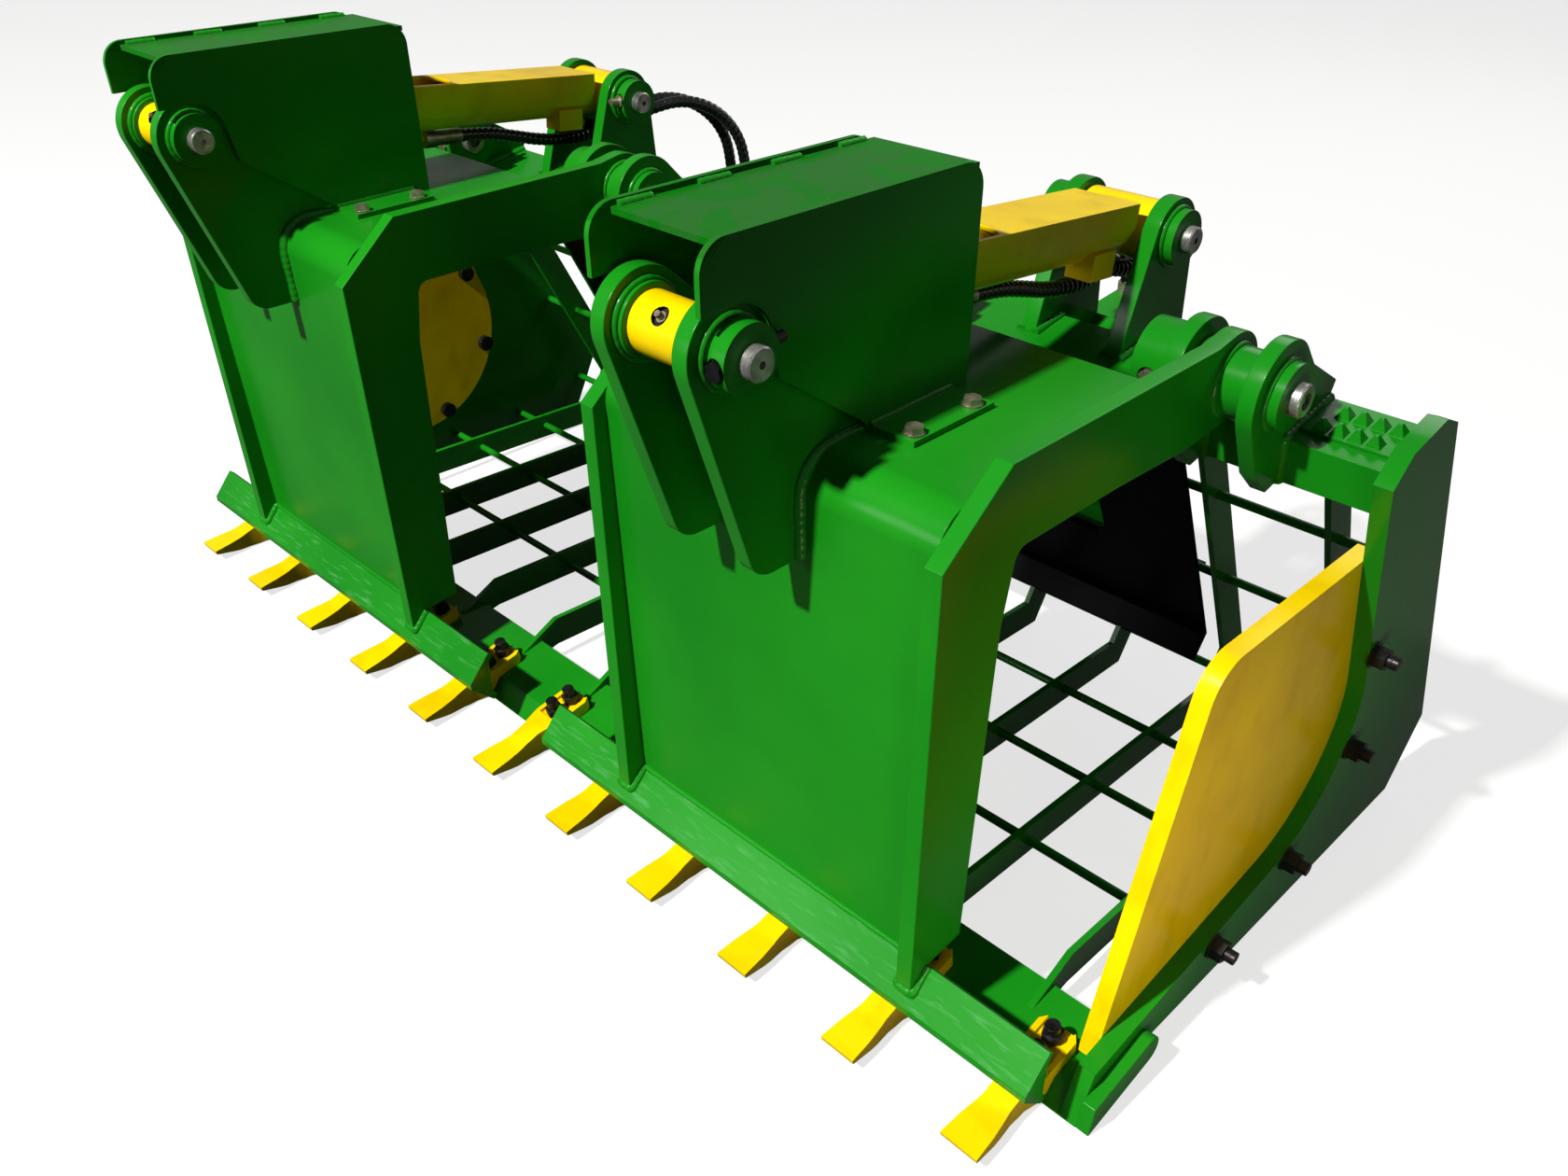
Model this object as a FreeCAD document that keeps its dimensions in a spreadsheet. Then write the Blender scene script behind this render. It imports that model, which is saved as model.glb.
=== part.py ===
import FreeCAD, Part
import Sketcher
import math
import os

# Skeleton grapple bucket: an open bucket of flat bars and rods with bolt-on teeth and side
# cutters, and two grapple arms, each closed by its own hydraulic cylinder.
# Millimetres, +X along the bucket, +Y from the teeth to the back, +Z up from the ground.

Vector = FreeCAD.Vector
doc = FreeCAD.newDocument("skeleton_grapple_bucket")
os.makedirs("parts", exist_ok=True)

# Side-view places are Y behind the tooth tips and Z above the ground.
SIZES = {
    "bucket_width": 1800, "end_thick": 20,
    # end plate outline
    "lip_y": 114, "nose_y": 134, "nose_z": 66, "heel_y": 249, "heel_z": 25,
    "toe_y": 854, "tail_y": 908, "tail_z": 99.5, "crown_y": 639.5, "crown_z": 623,
    "peak_y": 604, "peak_z": 637.5, "brow_y": 536, "brow_z": 625,
    "front_top_y": 507, "front_top_z": 596,
    "throat_y": 467, "throat_z": 261, "throat_r": 154,
    # side cutter
    "cutter_thick": 20, "cutter_overlap": 30, "cutter_tip_z": 492, "cutter_corner_y": 261,
    "cutter_corner_z": 503, "cutter_corner_r": 45, "cutter_toe_y": 169,
    "cutter_bolt_r": 8, "cutter_hole_r": 8.25, "cutter_bolt_inset": 14,
    "bolt_one_turn": 33.8, "bolt_two_turn": -17.7, "bolt_three_turn": -70.8, "bolt_four_back": 125,
    "bolt_head_r": 14, "bolt_head_high": 11, "nut_across": 24, "nut_high": 14, "washer_r": 15.5,
    "washer_thick": 3, "bolt_tail": 12,
    # lip plate and wear shoes
    "lip_thick": 25, "lip_depth": 112, "lip_bevel": 24.5, "shoe_thick": 16, "shoe_long": 130,
    "shoe_high": 38, "shoe_end_flat": 2,
    # top beam, a rectangular tube tipped back, and its grip treads
    "beam_front_y": 545, "beam_front_z": 593, "beam_depth": 95, "beam_high": 53, "beam_wall": 6,
    "beam_tilt": 9.8, "tread_gap": 6, "tread_wide": 52, "tread_thick": 4, "tread_inset": 4,
    "stud_pitch": 18.7, "stud_row_pitch": 31, "stud_base": 16, "stud_top": 4, "stud_high": 12,
    # ribs and rods
    "ribs_each_side": 5, "rib_end_gap": 86, "rib_thick": 8, "rib_depth": 46, "rib_start_y": 180,
    "rod_r": 6, "rod_inset": 24, "rod_gap": 0.2, "rod_one_y": 390, "rod_two_y": 545,
    "rod_three_y": 700, "rod_high_z": 407, "rod_low_z": 246,
    # liner and quick-attach plate
    "liner_wide": 1222, "liner_thick": 8, "liner_bend_z": 124, "liner_foot_y": 822,
    "liner_foot_z": 86, "window_wide": 940, "window_low_z": 261, "window_high_z": 440,
    "window_r": 25,
    "coupler_wide": 1130, "coupler_thick": 10, "coupler_low_z": 215, "coupler_lip_y": 890,
    "coupler_lip_z": 192, "hook_z": 588, "slot_wide": 14, "slot_long": 52, "slot_pitch": 860,
    "opening_wide": 520, "opening_low_z": 290, "opening_high_z": 500,
    # teeth
    "teeth_each_side": 5, "tooth_gap": 1, "tooth_thick": 18, "tooth_reach": 109,
    "tooth_tip_wide": 47, "tooth_tip_taper": 2, "tooth_waist_wide": 34, "tooth_shank_wide": 48,
    "tooth_shank": 68, "tooth_shoulder": 8, "tooth_corner": 6, "tooth_top_drop": 1,
    "tooth_tip_drop": 7, "tooth_beak_drop": 8, "tooth_belly": 18, "tooth_belly_r": 18,
    "tooth_chin_back": 3, "tooth_chin_up": 2, "tooth_neck": 12, "tooth_neck_r": 60,
    "tooth_saddle": 5, "tooth_saddle_r": 80, "tooth_rail": 7, "tooth_rail_deep": 5,
    "tooth_rail_front": 8, "tooth_bolt_r": 7, "tooth_hole_r": 7.25, "tooth_bolt_one": 22,
    "tooth_bolt_two": 52, "tooth_bolt_up": 0.5, "tooth_nut_high": 13, "tooth_dome": 12,
    "tooth_dome_r": 8.5, "tooth_nut_across": 22,
    # hinge and arms
    "grapple_pitch": 956.8, "arm_span": 478, "arm_thick": 20, "hinge_y": 512, "hinge_z": 653,
    "arm_eye_r": 49, "arm_top_z": 696, "arm_back_y": 472, "arm_brow_y": 139, "arm_cheek_y": 53,
    "arm_cheek_z": 626, "arm_low_y": 436, "arm_low_z": 599, "arm_waist_y": 316,
    "arm_waist_z": 604, "arm_inner_z": 605, "arm_inner_y": 160, "arm_bend_r": 16,
    "arm_knee_y": 148, "arm_knee_z": 529, "arm_heel_y": 137, "arm_heel_z": 133, "arm_shin_y": 56,
    "arm_shin_z": 112, "arm_foot_z": 102,
    "face_thick": 10, "face_low_y": 82, "face_high_y": 70, "face_high_z": 624, "face_bend_r": 40,
    "face_top_z": 664, "face_back_y": 425,
    "lip_reach": 395, "grapple_lip_thick": 10, "edge_top_y": 83, "edge_top_z": 127,
    "edge_nose_y": 48, "edge_nose_top": 89, "edge_nose_low": 80, "edge_foot_y": 82,
    "edge_foot_z": 46,
    # hinge stack, counted outwards from the arm plate
    "hinge_pin_r": 17.5, "hinge_boss_r": 36, "hinge_boss_long": 67, "hinge_boss_out": 34,
    "lug_thick": 18, "lug_eye_r": 55, "lug_gap": 1, "lug_collar_r": 35, "lug_collar_long": 14,
    "clamp_collar_long": 40, "clamp_collar_r": 42, "pin_stand": 12, "pin_gap": 0.06,
    "lug_back_y": 577, "lug_back_z": 665, "lug_drop_y": 645, "lug_drop_z": 627,
    "lug_tail_y": 530, "lug_tail_z": 536, "lug_tail_front": 496, "lug_tail_rise": 566,
    # pin ends, and the keeper bolts through the long collars and their pins
    "pin_chamfer": 1.5, "grease_hole_r": 3.5, "grease_hole_deep": 10, "hinge_hole_r": 9,
    "hinge_hole_deep": 12, "nipple_r": 3, "nipple_high": 9, "nipple_base_r": 5,
    "nipple_base_high": 3, "keeper_r": 5, "keeper_gap": 0.25, "keeper_flats": 16,
    "keeper_nut_high": 8, "keeper_tail": 14, "keeper_sink": 6, "keeper_face_r": 11,
    "keeper_out": 15, "hinge_keeper_turn": 10, "tower_keeper_turn": 173, "front_keeper_turn": 6,
    "groove_out": 4, "groove_wide": 4, "groove_deep": 3,
    # tower lugs and cylinder pins
    "tower_y": 668, "tower_z": 723, "tower_eye_r": 42, "tower_gap": 96, "tower_thick": 20,
    "tower_foot_y": 585, "tower_rear_y": 722, "tower_rear_z": 596, "pin_r": 15,
    "boss_r": 31, "boss_long": 14, "tower_clamp_long": 26, "pin_show": 12,
    # front lugs and rod eye
    "front_y": -12, "front_z": 787, "front_eye_r": 46, "front_gap": 84, "front_thick": 18,
    "front_foot_y": 14, "front_foot_z": 558, "front_foot_r": 30, "front_back_y": 190,
    "inner_boss_r": 34, "inner_boss_long": 8, "rod_eye_r": 28, "rod_eye_gap": 0.5,
    "nipple_seat_r": 9, "nipple_seat_deep": 5, "nipple_turn": 135,
    # cylinder cover
    "cover_gap": 126, "cover_thick": 6, "cover_front_y": -49, "cover_back_y": 297,
    "cover_top_front": 885, "cover_top_back": 880, "cover_corner_r": 27, "cover_low_z": 826,
    "cover_scallop_r": 41, "cover_scallop_turn": 108, "cover_toe_y": 36, "cover_toe_z": 752,
    "cover_heel_y": 144, "cover_heel_z": 676, "cover_seat_y": 153, "cover_top_drop": 5,
    "cover_top_front_y": -25, "flange_wide": 53, "flange_back_y": 271, "cover_bolt_out": 110,
    "cover_bolt_front": 167, "cover_bolt_back": 252, "cover_bolt_r": 5, "cover_bolt_across": 16,
    "cover_bolt_high": 8, "cover_bolt_skirt_r": 10.5, "cover_bolt_skirt": 2, "cover_bolt_tail": 8,
    # hydraulic cylinder
    "barrel_r": 30, "bore_r": 25, "barrel_reach": 490, "barrel_cap": 22, "rear_eye_r": 34,
    "rear_eye_wide": 90, "gland_long": 34, "gland_bore_r": 21, "gland_flange": 8,
    "piston_r": 18.8, "piston_long": 36, "piston_gap": 46, "shaft_r": 15, "eye_neck_r": 19,
    "eye_neck": 46, "guard_half": 43, "guard_side": 26, "guard_toe_in": 9, "guard_toe_down": 20,
    "guard_thick": 5, "guard_gap": 1, "guard_start": 46, "guard_end": 306, "guard_side_end": 400,
    "guard_scallop_r": 52, "guard_scallop": 22, "strip_inset": 10, "strip_back": 40,
    "strip_wide": 18, "strip_sink": 4, "port_start": 64, "port_long": 44, "port_wide": 34,
    "port_drop": 44, "port_high": 30, "pipe_r": 6, "pipe_drop": 16, "pipe_end": 316,
    "ferrule_r": 11, "ferrule_long": 62, "ferrule_nut_r": 13, "ferrule_nut_long": 18,
    "port_back": 10, "port_boss_r": 9, "port_boss_drop": 4, "stub_turn": -20, "stub_y": 612,
    "stub_z": 690, "stub_long": 22,
    # hoses, and the bracket and couplers that they end in
    "hose_r": 9, "hose_gap": 0.3, "hose_side": 18, "hose_in": 86.5, "hose_end_y": 883.6,
    "hose_end_z": 572, "hose_lean": 5.05, "bracket_front": 745, "bracket_back": 902,
    "bracket_thick": 8, "bracket_half": 31, "fitting_r": 12, "fitting_long": 14,
    "coupler_r": 13, "coupler_long": 42, "coupler_gap": 0.2, "coupler_bore": 6,
    "coupler_bore_long": 28,
}

sheet = doc.addObject("Spreadsheet::Sheet", "Sizes")
for row, (name, number) in enumerate(SIZES.items(), start=1):
    sheet.set("A%d" % row, name)
    sheet.set("B%d" % row, str(number))
    sheet.setAlias("B%d" % row, name)
doc.recompute()


def size(name):
    return float(sheet.get(name))


# The origin is on the ground, under the middle of the whole bucket.
FRONT_REACH = size("front_y") - size("front_eye_r")
REAR_REACH = size("tail_y")
SHIFT = -(FRONT_REACH + REAR_REACH) / 2
HALF = size("bucket_width") / 2
INSIDE = HALF - size("end_thick")
SIDES = {"left": -size("grapple_pitch") / 2, "right": size("grapple_pitch") / 2}
PAST = 1    # how far a cutting shape runs past the face that it cuts
parts = []


# Plane geometry in the side view, as (y, z) pairs

def turned(degrees):
    return (math.cos(math.radians(degrees)), math.sin(math.radians(degrees)))


def moved(point, direction, distance):
    return (point[0] + direction[0] * distance, point[1] + direction[1] * distance)


def between(start, end):
    long = math.hypot(end[0] - start[0], end[1] - start[1])
    return ((end[0] - start[0]) / long, (end[1] - start[1]) / long)


def meet(point_a, along_a, point_b, along_b):
    cross = along_a[0] * along_b[1] - along_a[1] * along_b[0]
    gap = (point_b[0] - point_a[0], point_b[1] - point_a[1])
    return moved(point_a, along_a, (gap[0] * along_b[1] - gap[1] * along_b[0]) / cross)


def touch(centre, radius, point, side):
    """Angle on the circle where a line from the point is tangent."""
    away = math.hypot(point[0] - centre[0], point[1] - centre[1])
    facing = math.degrees(math.atan2(point[1] - centre[1], point[0] - centre[0]))
    return facing + side * math.degrees(math.acos(radius / away))


def round_eye(centre, radius, last, first):
    """The arc of an eye, entered from the last corner and left for the first one."""
    start = touch(centre, radius, last, 1)
    end = touch(centre, radius, first, -1)
    while end < start:
        end += 360
    return (centre[0], centre[1], radius, start, end)


def offset_path(points, distance):
    """The open path moved sideways, to the left of its run, with mitred corners."""
    lines = []
    for start, end in zip(points, points[1:]):
        along = between(start, end)
        lines.append((moved(start, (-along[1], along[0]), distance), along))
    path = [lines[0][0]]
    for one, two in zip(lines, lines[1:]):
        path.append(meet(one[0], one[1], two[0], two[1]))
    last = points[-1]
    path.append(moved(last, (-lines[-1][1][1], lines[-1][1][0]), distance))
    return path


def ends(item):
    """First and last point of an outline item: a corner, or an arc (y, z, r, start, end)."""
    if len(item) < 5:
        return item[:2], item[:2]
    centre = item[:2]
    return moved(centre, turned(item[3]), item[2]), moved(centre, turned(item[4]), item[2])


def runs(items):
    """A closed outline as straight and round runs; a corner (y, z, r) is rounded."""
    pieces = []
    for index, item in enumerate(items):
        if len(item) == 5:
            first, last = ends(item)
            middle = moved(item[:2], turned((item[3] + item[4]) / 2), item[2])
            pieces.append((first, middle, last))
        elif len(item) == 3 and item[2] > 0:
            back = between(item[:2], ends(items[index - 1])[1])
            ahead = between(item[:2], ends(items[(index + 1) % len(items)])[0])
            half = math.acos(max(-1, min(1, back[0] * ahead[0] + back[1] * ahead[1]))) / 2
            trim = item[2] / math.tan(half)
            inward = between((0, 0), (back[0] + ahead[0], back[1] + ahead[1]))
            centre = moved(item[:2], inward, item[2] / math.sin(half))
            pieces.append((moved(item[:2], back, trim), moved(centre, inward, -item[2]),
                           moved(item[:2], ahead, trim)))
        else:
            pieces.append((item[:2], item[:2]))
    drawn = []
    for index, piece in enumerate(pieces):
        if len(piece) == 3:
            drawn.append(piece)
        start, end = piece[-1], pieces[(index + 1) % len(pieces)][0]
        if math.hypot(end[0] - start[0], end[1] - start[1]) > 0.001:
            drawn.append((start, end))
    return drawn


def wall(items, x, thick):
    """A plate with this side-view outline, from x to x + thick."""
    edges = []
    for run in runs(items):
        points = [Vector(x, p[0], p[1]) for p in run]
        curve = Part.LineSegment(*points) if len(points) == 2 else Part.Arc(*points)
        edges.append(curve.toShape())
    return Part.Face(Part.Wire(edges)).extrude(Vector(thick, 0, 0))


def across(centre, radius, x, long):
    """A round bar along X through a side-view point."""
    return Part.makeCylinder(radius, long, Vector(x, centre[0], centre[1]), Vector(1, 0, 0))


def tube(centre, outer, inner, x, long):
    return across(centre, outer, x, long).cut(across(centre, inner, x, long))


def joined(shapes):
    return shapes[0].multiFuse(shapes[1:]).removeSplitter()


# Making the document's objects

def keep(thing, label):
    thing.Label = label
    parts.append(thing)


def feature(label, shape):
    """A sub-part whose shape is worked out from the sheet."""
    thing = doc.addObject("Part::Feature", label)
    thing.Shape = shape
    ahead = FreeCAD.Placement(Vector(0, SHIFT, 0), FreeCAD.Rotation())
    thing.Placement = ahead * shape.Placement
    keep(thing, label)


def plate(label, items, x, thick_name, holes=()):
    """A flat plate: a sketch in the side view, padded along +X by a thickness in the sheet."""
    body = doc.addObject("PartDesign::Body", label)
    plane = [each for each in body.Origin.OriginFeatures if each.Role == "YZ_Plane"][0]
    sketch = body.newObject("Sketcher::SketchObject", label + "_outline")
    sketch.AttachmentSupport = [(plane, "")]
    sketch.MapMode = "FlatFace"
    for run in runs(items):
        points = [Vector(p[0], p[1], 0) for p in run]
        curve = Part.LineSegment(*points) if len(points) == 2 else Part.Arc(*points)
        sketch.addGeometry(curve, False)
    for centre, radius_name in holes:
        number = sketch.addGeometry(
            Part.Circle(Vector(centre[0], centre[1], 0), Vector(0, 0, 1), size(radius_name)), False)
        held = sketch.addConstraint(Sketcher.Constraint("Radius", number, size(radius_name)))
        sketch.setExpression("Constraints[%d]" % held, "Sizes." + radius_name)
    pad = body.newObject("PartDesign::Pad", label + "_pad")
    pad.Profile = sketch
    pad.setExpression("Length", "Sizes." + thick_name)
    body.Placement = FreeCAD.Placement(Vector(x, SHIFT, 0), FreeCAD.Rotation())
    keep(body, label)


def solids(label, shapes):
    """Separate solids that share one node."""
    feature(label, Part.makeCompound(shapes))


def mirrored(shape):
    return shape.mirror(Vector(0, 0, 0), Vector(1, 0, 0))


def both_hands(shapes, x=0):
    """The shapes and their mirror images about the plane at x."""
    return shapes + [shape.mirror(Vector(x, 0, 0), Vector(1, 0, 0)) for shape in shapes]


def to_side(shape, side):
    """From a grapple's own middle plane, outboard along +X, to its side of the bucket."""
    handed = mirrored(shape) if side == "left" else shape
    return handed.translated(Vector(SIDES[side], 0, 0))


def upright(x, y, radius, low, high):
    """A round bar standing up."""
    return Part.makeCylinder(radius, high - low, Vector(x, y, low))


def hexagon(centre, flats, x, long):
    """A hexagon bar along X."""
    corners = [moved(centre, turned(30 + 60 * turn), flats / 2 / turned(30)[0]) for turn in range(6)]
    return wall(corners, x, long)


def hexagon_towards(start, flats, high, way):
    """A hexagon nut or head that starts at a point and stands along a direction."""
    made = hexagon((0, 0), flats, 0, high)
    made.Placement = FreeCAD.Placement(start, FreeCAD.Rotation(Vector(1, 0, 0), way))
    return made


def bolt(centre, x, grip, head_r, head_high, shank_r, flats):
    """A bolt along X with its head at x, clamping over the grip, its nut and thread end."""
    nut_x = x + grip + size("washer_thick")
    pieces = [across(centre, head_r, x - head_high, head_high),
              across(centre, shank_r, x, grip + size("washer_thick")),
              across(centre, size("washer_r"), x + grip, size("washer_thick")),
              hexagon(centre, flats, nut_x, size("nut_high")),
              across(centre, shank_r, nut_x, size("nut_high") + size("bolt_tail"))]
    return joined(pieces)


# Bucket lines in the side view

LIP = (size("lip_y"), 0)
HEEL = (size("heel_y"), size("heel_z"))
TOE = (size("toe_y"), 0)
TAIL = (size("tail_y"), size("tail_z"))
CROWN = (size("crown_y"), size("crown_z"))
NOSE = (size("nose_y"), size("nose_z"))
FRONT_TOP = (size("front_top_y"), size("front_top_z"))
THROAT = (size("throat_y"), size("throat_z"))
HIGH_TURN = touch(THROAT, size("throat_r"), FRONT_TOP, -1)
LOW_TURN = touch(THROAT, size("throat_r"), NOSE, 1)
BACK_UP = between(TAIL, CROWN)
LIP_BACK = between(LIP, HEEL)
LIP_UP = (-LIP_BACK[1], LIP_BACK[0])
BEAM_BACK = turned(size("beam_tilt"))
BEAM_DOWN = (BEAM_BACK[1], -BEAM_BACK[0])
BEAM_A = (size("beam_front_y"), size("beam_front_z"))
BEAM_B = moved(BEAM_A, BEAM_BACK, size("beam_depth"))
BEAM_C = moved(BEAM_B, BEAM_DOWN, size("beam_high"))
BEAM_D = moved(BEAM_A, BEAM_DOWN, size("beam_high"))
RIB_TOP = meet(TAIL, BACK_UP, BEAM_D, BEAM_BACK)


def on_lip(back, up):
    """A point counted back along the lip plate's underside and up square to it."""
    return moved(moved(LIP, LIP_BACK, back), LIP_UP, up)


def throat_line(turn, corner, out):
    """Start and direction of a straight edge that leaves the throat's arc for a corner."""
    start = moved(THROAT, turned(turn), size("throat_r"))
    return moved(THROAT, turned(turn), size("throat_r") + out), between(start, corner)


# End plates and side cutters

bolt_ring = size("throat_r") + size("cutter_bolt_inset")
cutter_bolts = [moved(THROAT, turned(size(name)), bolt_ring)
                for name in ("bolt_one_turn", "bolt_two_turn", "bolt_three_turn")]
low_start, low_along = throat_line(LOW_TURN, NOSE, size("cutter_bolt_inset"))
cutter_bolts.append(moved(low_start, low_along, size("bolt_four_back")))
bolt_holes = [(centre, "cutter_hole_r") for centre in cutter_bolts]

end_outline = [LIP, HEEL, TOE, TAIL, CROWN, (size("peak_y"), size("peak_z")),
               (size("brow_y"), size("brow_z")), FRONT_TOP,
               (*THROAT, size("throat_r"), HIGH_TURN, LOW_TURN), NOSE]
plate("end_plate_left", end_outline, -HALF, "end_thick", bolt_holes)
plate("end_plate_right", end_outline, INSIDE, "end_thick", bolt_holes)

cutter_r = size("throat_r") + size("cutter_overlap")
rear_start, rear_along = throat_line(HIGH_TURN, FRONT_TOP, size("cutter_overlap"))
base_start, base_along = throat_line(LOW_TURN, NOSE, size("cutter_overlap"))
cutter_tip = meet(rear_start, rear_along, (0, size("cutter_tip_z")), (1, 0))
cutter_toe = meet(base_start, base_along, (size("cutter_toe_y"), 0), (0, 1))
cutter_corner = (size("cutter_corner_y"), size("cutter_corner_z"), size("cutter_corner_r"))
cutter_outline = [cutter_tip, cutter_corner, cutter_toe, (*THROAT, cutter_r, LOW_TURN, HIGH_TURN)]
plate("side_cutter_left", cutter_outline, -INSIDE, "cutter_thick", bolt_holes)
plate("side_cutter_right", cutter_outline, INSIDE - size("cutter_thick"), "cutter_thick", bolt_holes)

clamped = size("end_thick") + size("cutter_thick")
solids("cutter_bolts", both_hands(
    [bolt(centre, HALF - clamped, clamped, size("bolt_head_r"), size("bolt_head_high"),
          size("cutter_bolt_r"), size("nut_across")) for centre in cutter_bolts]))

# Wear shoes on the outside of the end plates

shoe_round = (size("shoe_high") - size("shoe_end_flat")) / 2
shoe_outline = [LIP, (*on_lip(size("shoe_long"), 0), shoe_round),
                (*on_lip(size("shoe_long"), size("shoe_high")), shoe_round),
                on_lip(size("shoe_high") * (NOSE[0] - LIP[0]) / NOSE[1], size("shoe_high"))]
solids("wear_shoes", both_hands([wall(shoe_outline, HALF, size("shoe_thick"))]))

# Lip plate, with the holes for the tooth bolts

def spread(outermost, each_side):
    """Places along X from one outermost piece to the other, evenly spaced about the middle."""
    return [outermost * count / each_side for count in range(-int(each_side), int(each_side) + 1)]


TEETH = spread(INSIDE - size("cutter_thick") - size("tooth_gap") - size("tooth_shank_wide") / 2,
               size("teeth_each_side"))
lip_up = Vector(0, *LIP_UP)


def lip_bar(x, back, up, radius, high):
    """A round bar square to the lip plate."""
    return Part.makeCylinder(radius, high, Vector(x, *on_lip(back, up)), lip_up)


bolt_backs = (size("tooth_bolt_one"), size("tooth_bolt_two"))
tooth_holes = [lip_bar(x, back, -PAST, size("tooth_hole_r"),
                       size("lip_thick") + size("tooth_thick") + 2 * PAST)
               for x in TEETH for back in bolt_backs]
lip_outline = [LIP, on_lip(size("lip_depth"), 0), on_lip(size("lip_depth"), size("lip_thick")),
               on_lip(size("lip_bevel"), size("lip_thick"))]
feature("cutting_edge", wall(lip_outline, -INSIDE, 2 * INSIDE).cut(tooth_holes))

# Teeth: the side profile and the plan outline of one tooth, cut from each other

shank_top = size("lip_thick") + size("tooth_thick")
reach = size("tooth_reach")
tip_top = shank_top - size("tooth_top_drop")
# the places of the tooth's turns in front of the lip, as shares of its reach
BEAK, SADDLE, BELLY = 0.62, 0.5, 0.3
TIP_END, WAIST_FRONT, WAIST_BACK = 0.72, 0.42, 0.2
tooth_side = [on_lip(-reach, tip_top - size("tooth_tip_drop")),
              on_lip(-reach * BEAK, size("lip_thick") - size("tooth_beak_drop")),
              (*on_lip(-reach * BELLY, size("lip_thick") - size("tooth_belly")), size("tooth_belly_r")),
              on_lip(-size("tooth_chin_back"), size("tooth_chin_up")),
              on_lip(size("lip_bevel") - size("tooth_chin_back"), size("lip_thick")),
              on_lip(size("tooth_shank"), size("lip_thick")), on_lip(size("tooth_shank"), shank_top),
              (*on_lip(-size("tooth_neck"), shank_top), size("tooth_neck_r")),
              (*on_lip(-reach * SADDLE, shank_top - size("tooth_saddle")), size("tooth_saddle_r")),
              on_lip(-reach, tip_top)]
tip, waist, shank = (size("tooth_%s_wide" % name) / 2 for name in ("tip", "waist", "shank"))
shoulder = size("tooth_shoulder")
plan = [(-reach, tip), (-reach * TIP_END, tip - size("tooth_tip_taper")), (-reach * WAIST_FRONT, waist),
        (-reach * WAIST_BACK, waist), (shoulder, shank), (size("tooth_shank") - shoulder, shank),
        (size("tooth_shank"), shank - size("tooth_corner"))]
plan += [(back, -half) for back, half in reversed(plan)]
plan_points = [Vector(half, *on_lip(back, -reach)) for back, half in plan]
plan_face = Part.Face(Part.makePolygon(plan_points + plan_points[:1]))
tooth = wall(tooth_side, -shank, 2 * shank).common(plan_face.extrude(lip_up * 2 * reach))
nut_base = shank_top - size("tooth_rail_deep")
groove_base = on_lip(size("tooth_rail_front"), nut_base)
groove_end = on_lip(size("tooth_shank") + PAST, nut_base)
groove_top = size("tooth_rail_deep") + PAST
groove = wall([groove_base, groove_end, moved(groove_end, LIP_UP, groove_top),
               moved(groove_base, LIP_UP, groove_top)],
              -shank + size("tooth_rail"), 2 * (shank - size("tooth_rail")))
tooth = tooth.cut(groove)
teeth = []
for x in TEETH:
    own_holes = [hole for hole in tooth_holes if abs(hole.CenterOfMass.x - x) < size("tooth_hole_r")]
    teeth.append(tooth.translated(Vector(x, 0, 0)).cut(own_holes))
solids("bucket_teeth", teeth)

tooth_bolts = []
nut_top = nut_base + size("tooth_nut_high")
for x in TEETH:
    for back in bolt_backs:
        nut = hexagon_towards(Vector(x, *on_lip(back, nut_base)), size("tooth_nut_across"),
                              size("tooth_nut_high"), lip_up)
        stem = lip_bar(x, back, size("tooth_bolt_up"), size("tooth_bolt_r"), nut_top)
        dome = lip_bar(x, back, nut_top, size("tooth_dome_r"), size("tooth_dome"))
        tooth_bolts.append(joined([nut, stem, dome]))
solids("tooth_bolts", tooth_bolts)

# Top beam and its grip treads, which run from the hinge lugs to the end plates

HINGE = (size("hinge_y"), size("hinge_z"))
TOWER = (size("tower_y"), size("tower_z"))
FRONT = (size("front_y"), size("front_z"))
BOSS_OUT = size("arm_span") / 2 + size("hinge_boss_out")
BOSS_IN = BOSS_OUT - size("hinge_boss_long")
LUG_OUT = BOSS_OUT + size("lug_gap")
LUG_IN = BOSS_IN - size("lug_gap") - size("lug_thick")

beam_outer = wall([BEAM_A, BEAM_D, BEAM_C, BEAM_B], -INSIDE, 2 * INSIDE)
inner_a = moved(moved(BEAM_A, BEAM_BACK, size("beam_wall")), BEAM_DOWN, size("beam_wall"))
inner_b = moved(inner_a, BEAM_BACK, size("beam_depth") - 2 * size("beam_wall"))
inner_drop = size("beam_high") - 2 * size("beam_wall")
beam_inner = wall([inner_a, moved(inner_a, BEAM_DOWN, inner_drop), moved(inner_b, BEAM_DOWN, inner_drop),
                   inner_b], -INSIDE, 2 * INSIDE)
feature("top_beam", beam_outer.cut(beam_inner))


def stud(x, back):
    """A grip stud, a blunt pyramid standing square to the beam's top."""
    rings = []
    for half, up in ((size("stud_base") / 2, size("tread_thick")),
                     (size("stud_top") / 2, size("tread_thick") + size("stud_high"))):
        corners = []
        for step_x, step_y in ((-1, -1), (1, -1), (1, 1), (-1, 1)):
            point = moved(moved(BEAM_A, BEAM_BACK, back + step_y * half), BEAM_DOWN, -up)
            corners.append(Vector(x + step_x * half, *point))
        rings.append(Part.makePolygon(corners + corners[:1]))
    return Part.makeLoft(rings, True)


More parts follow.
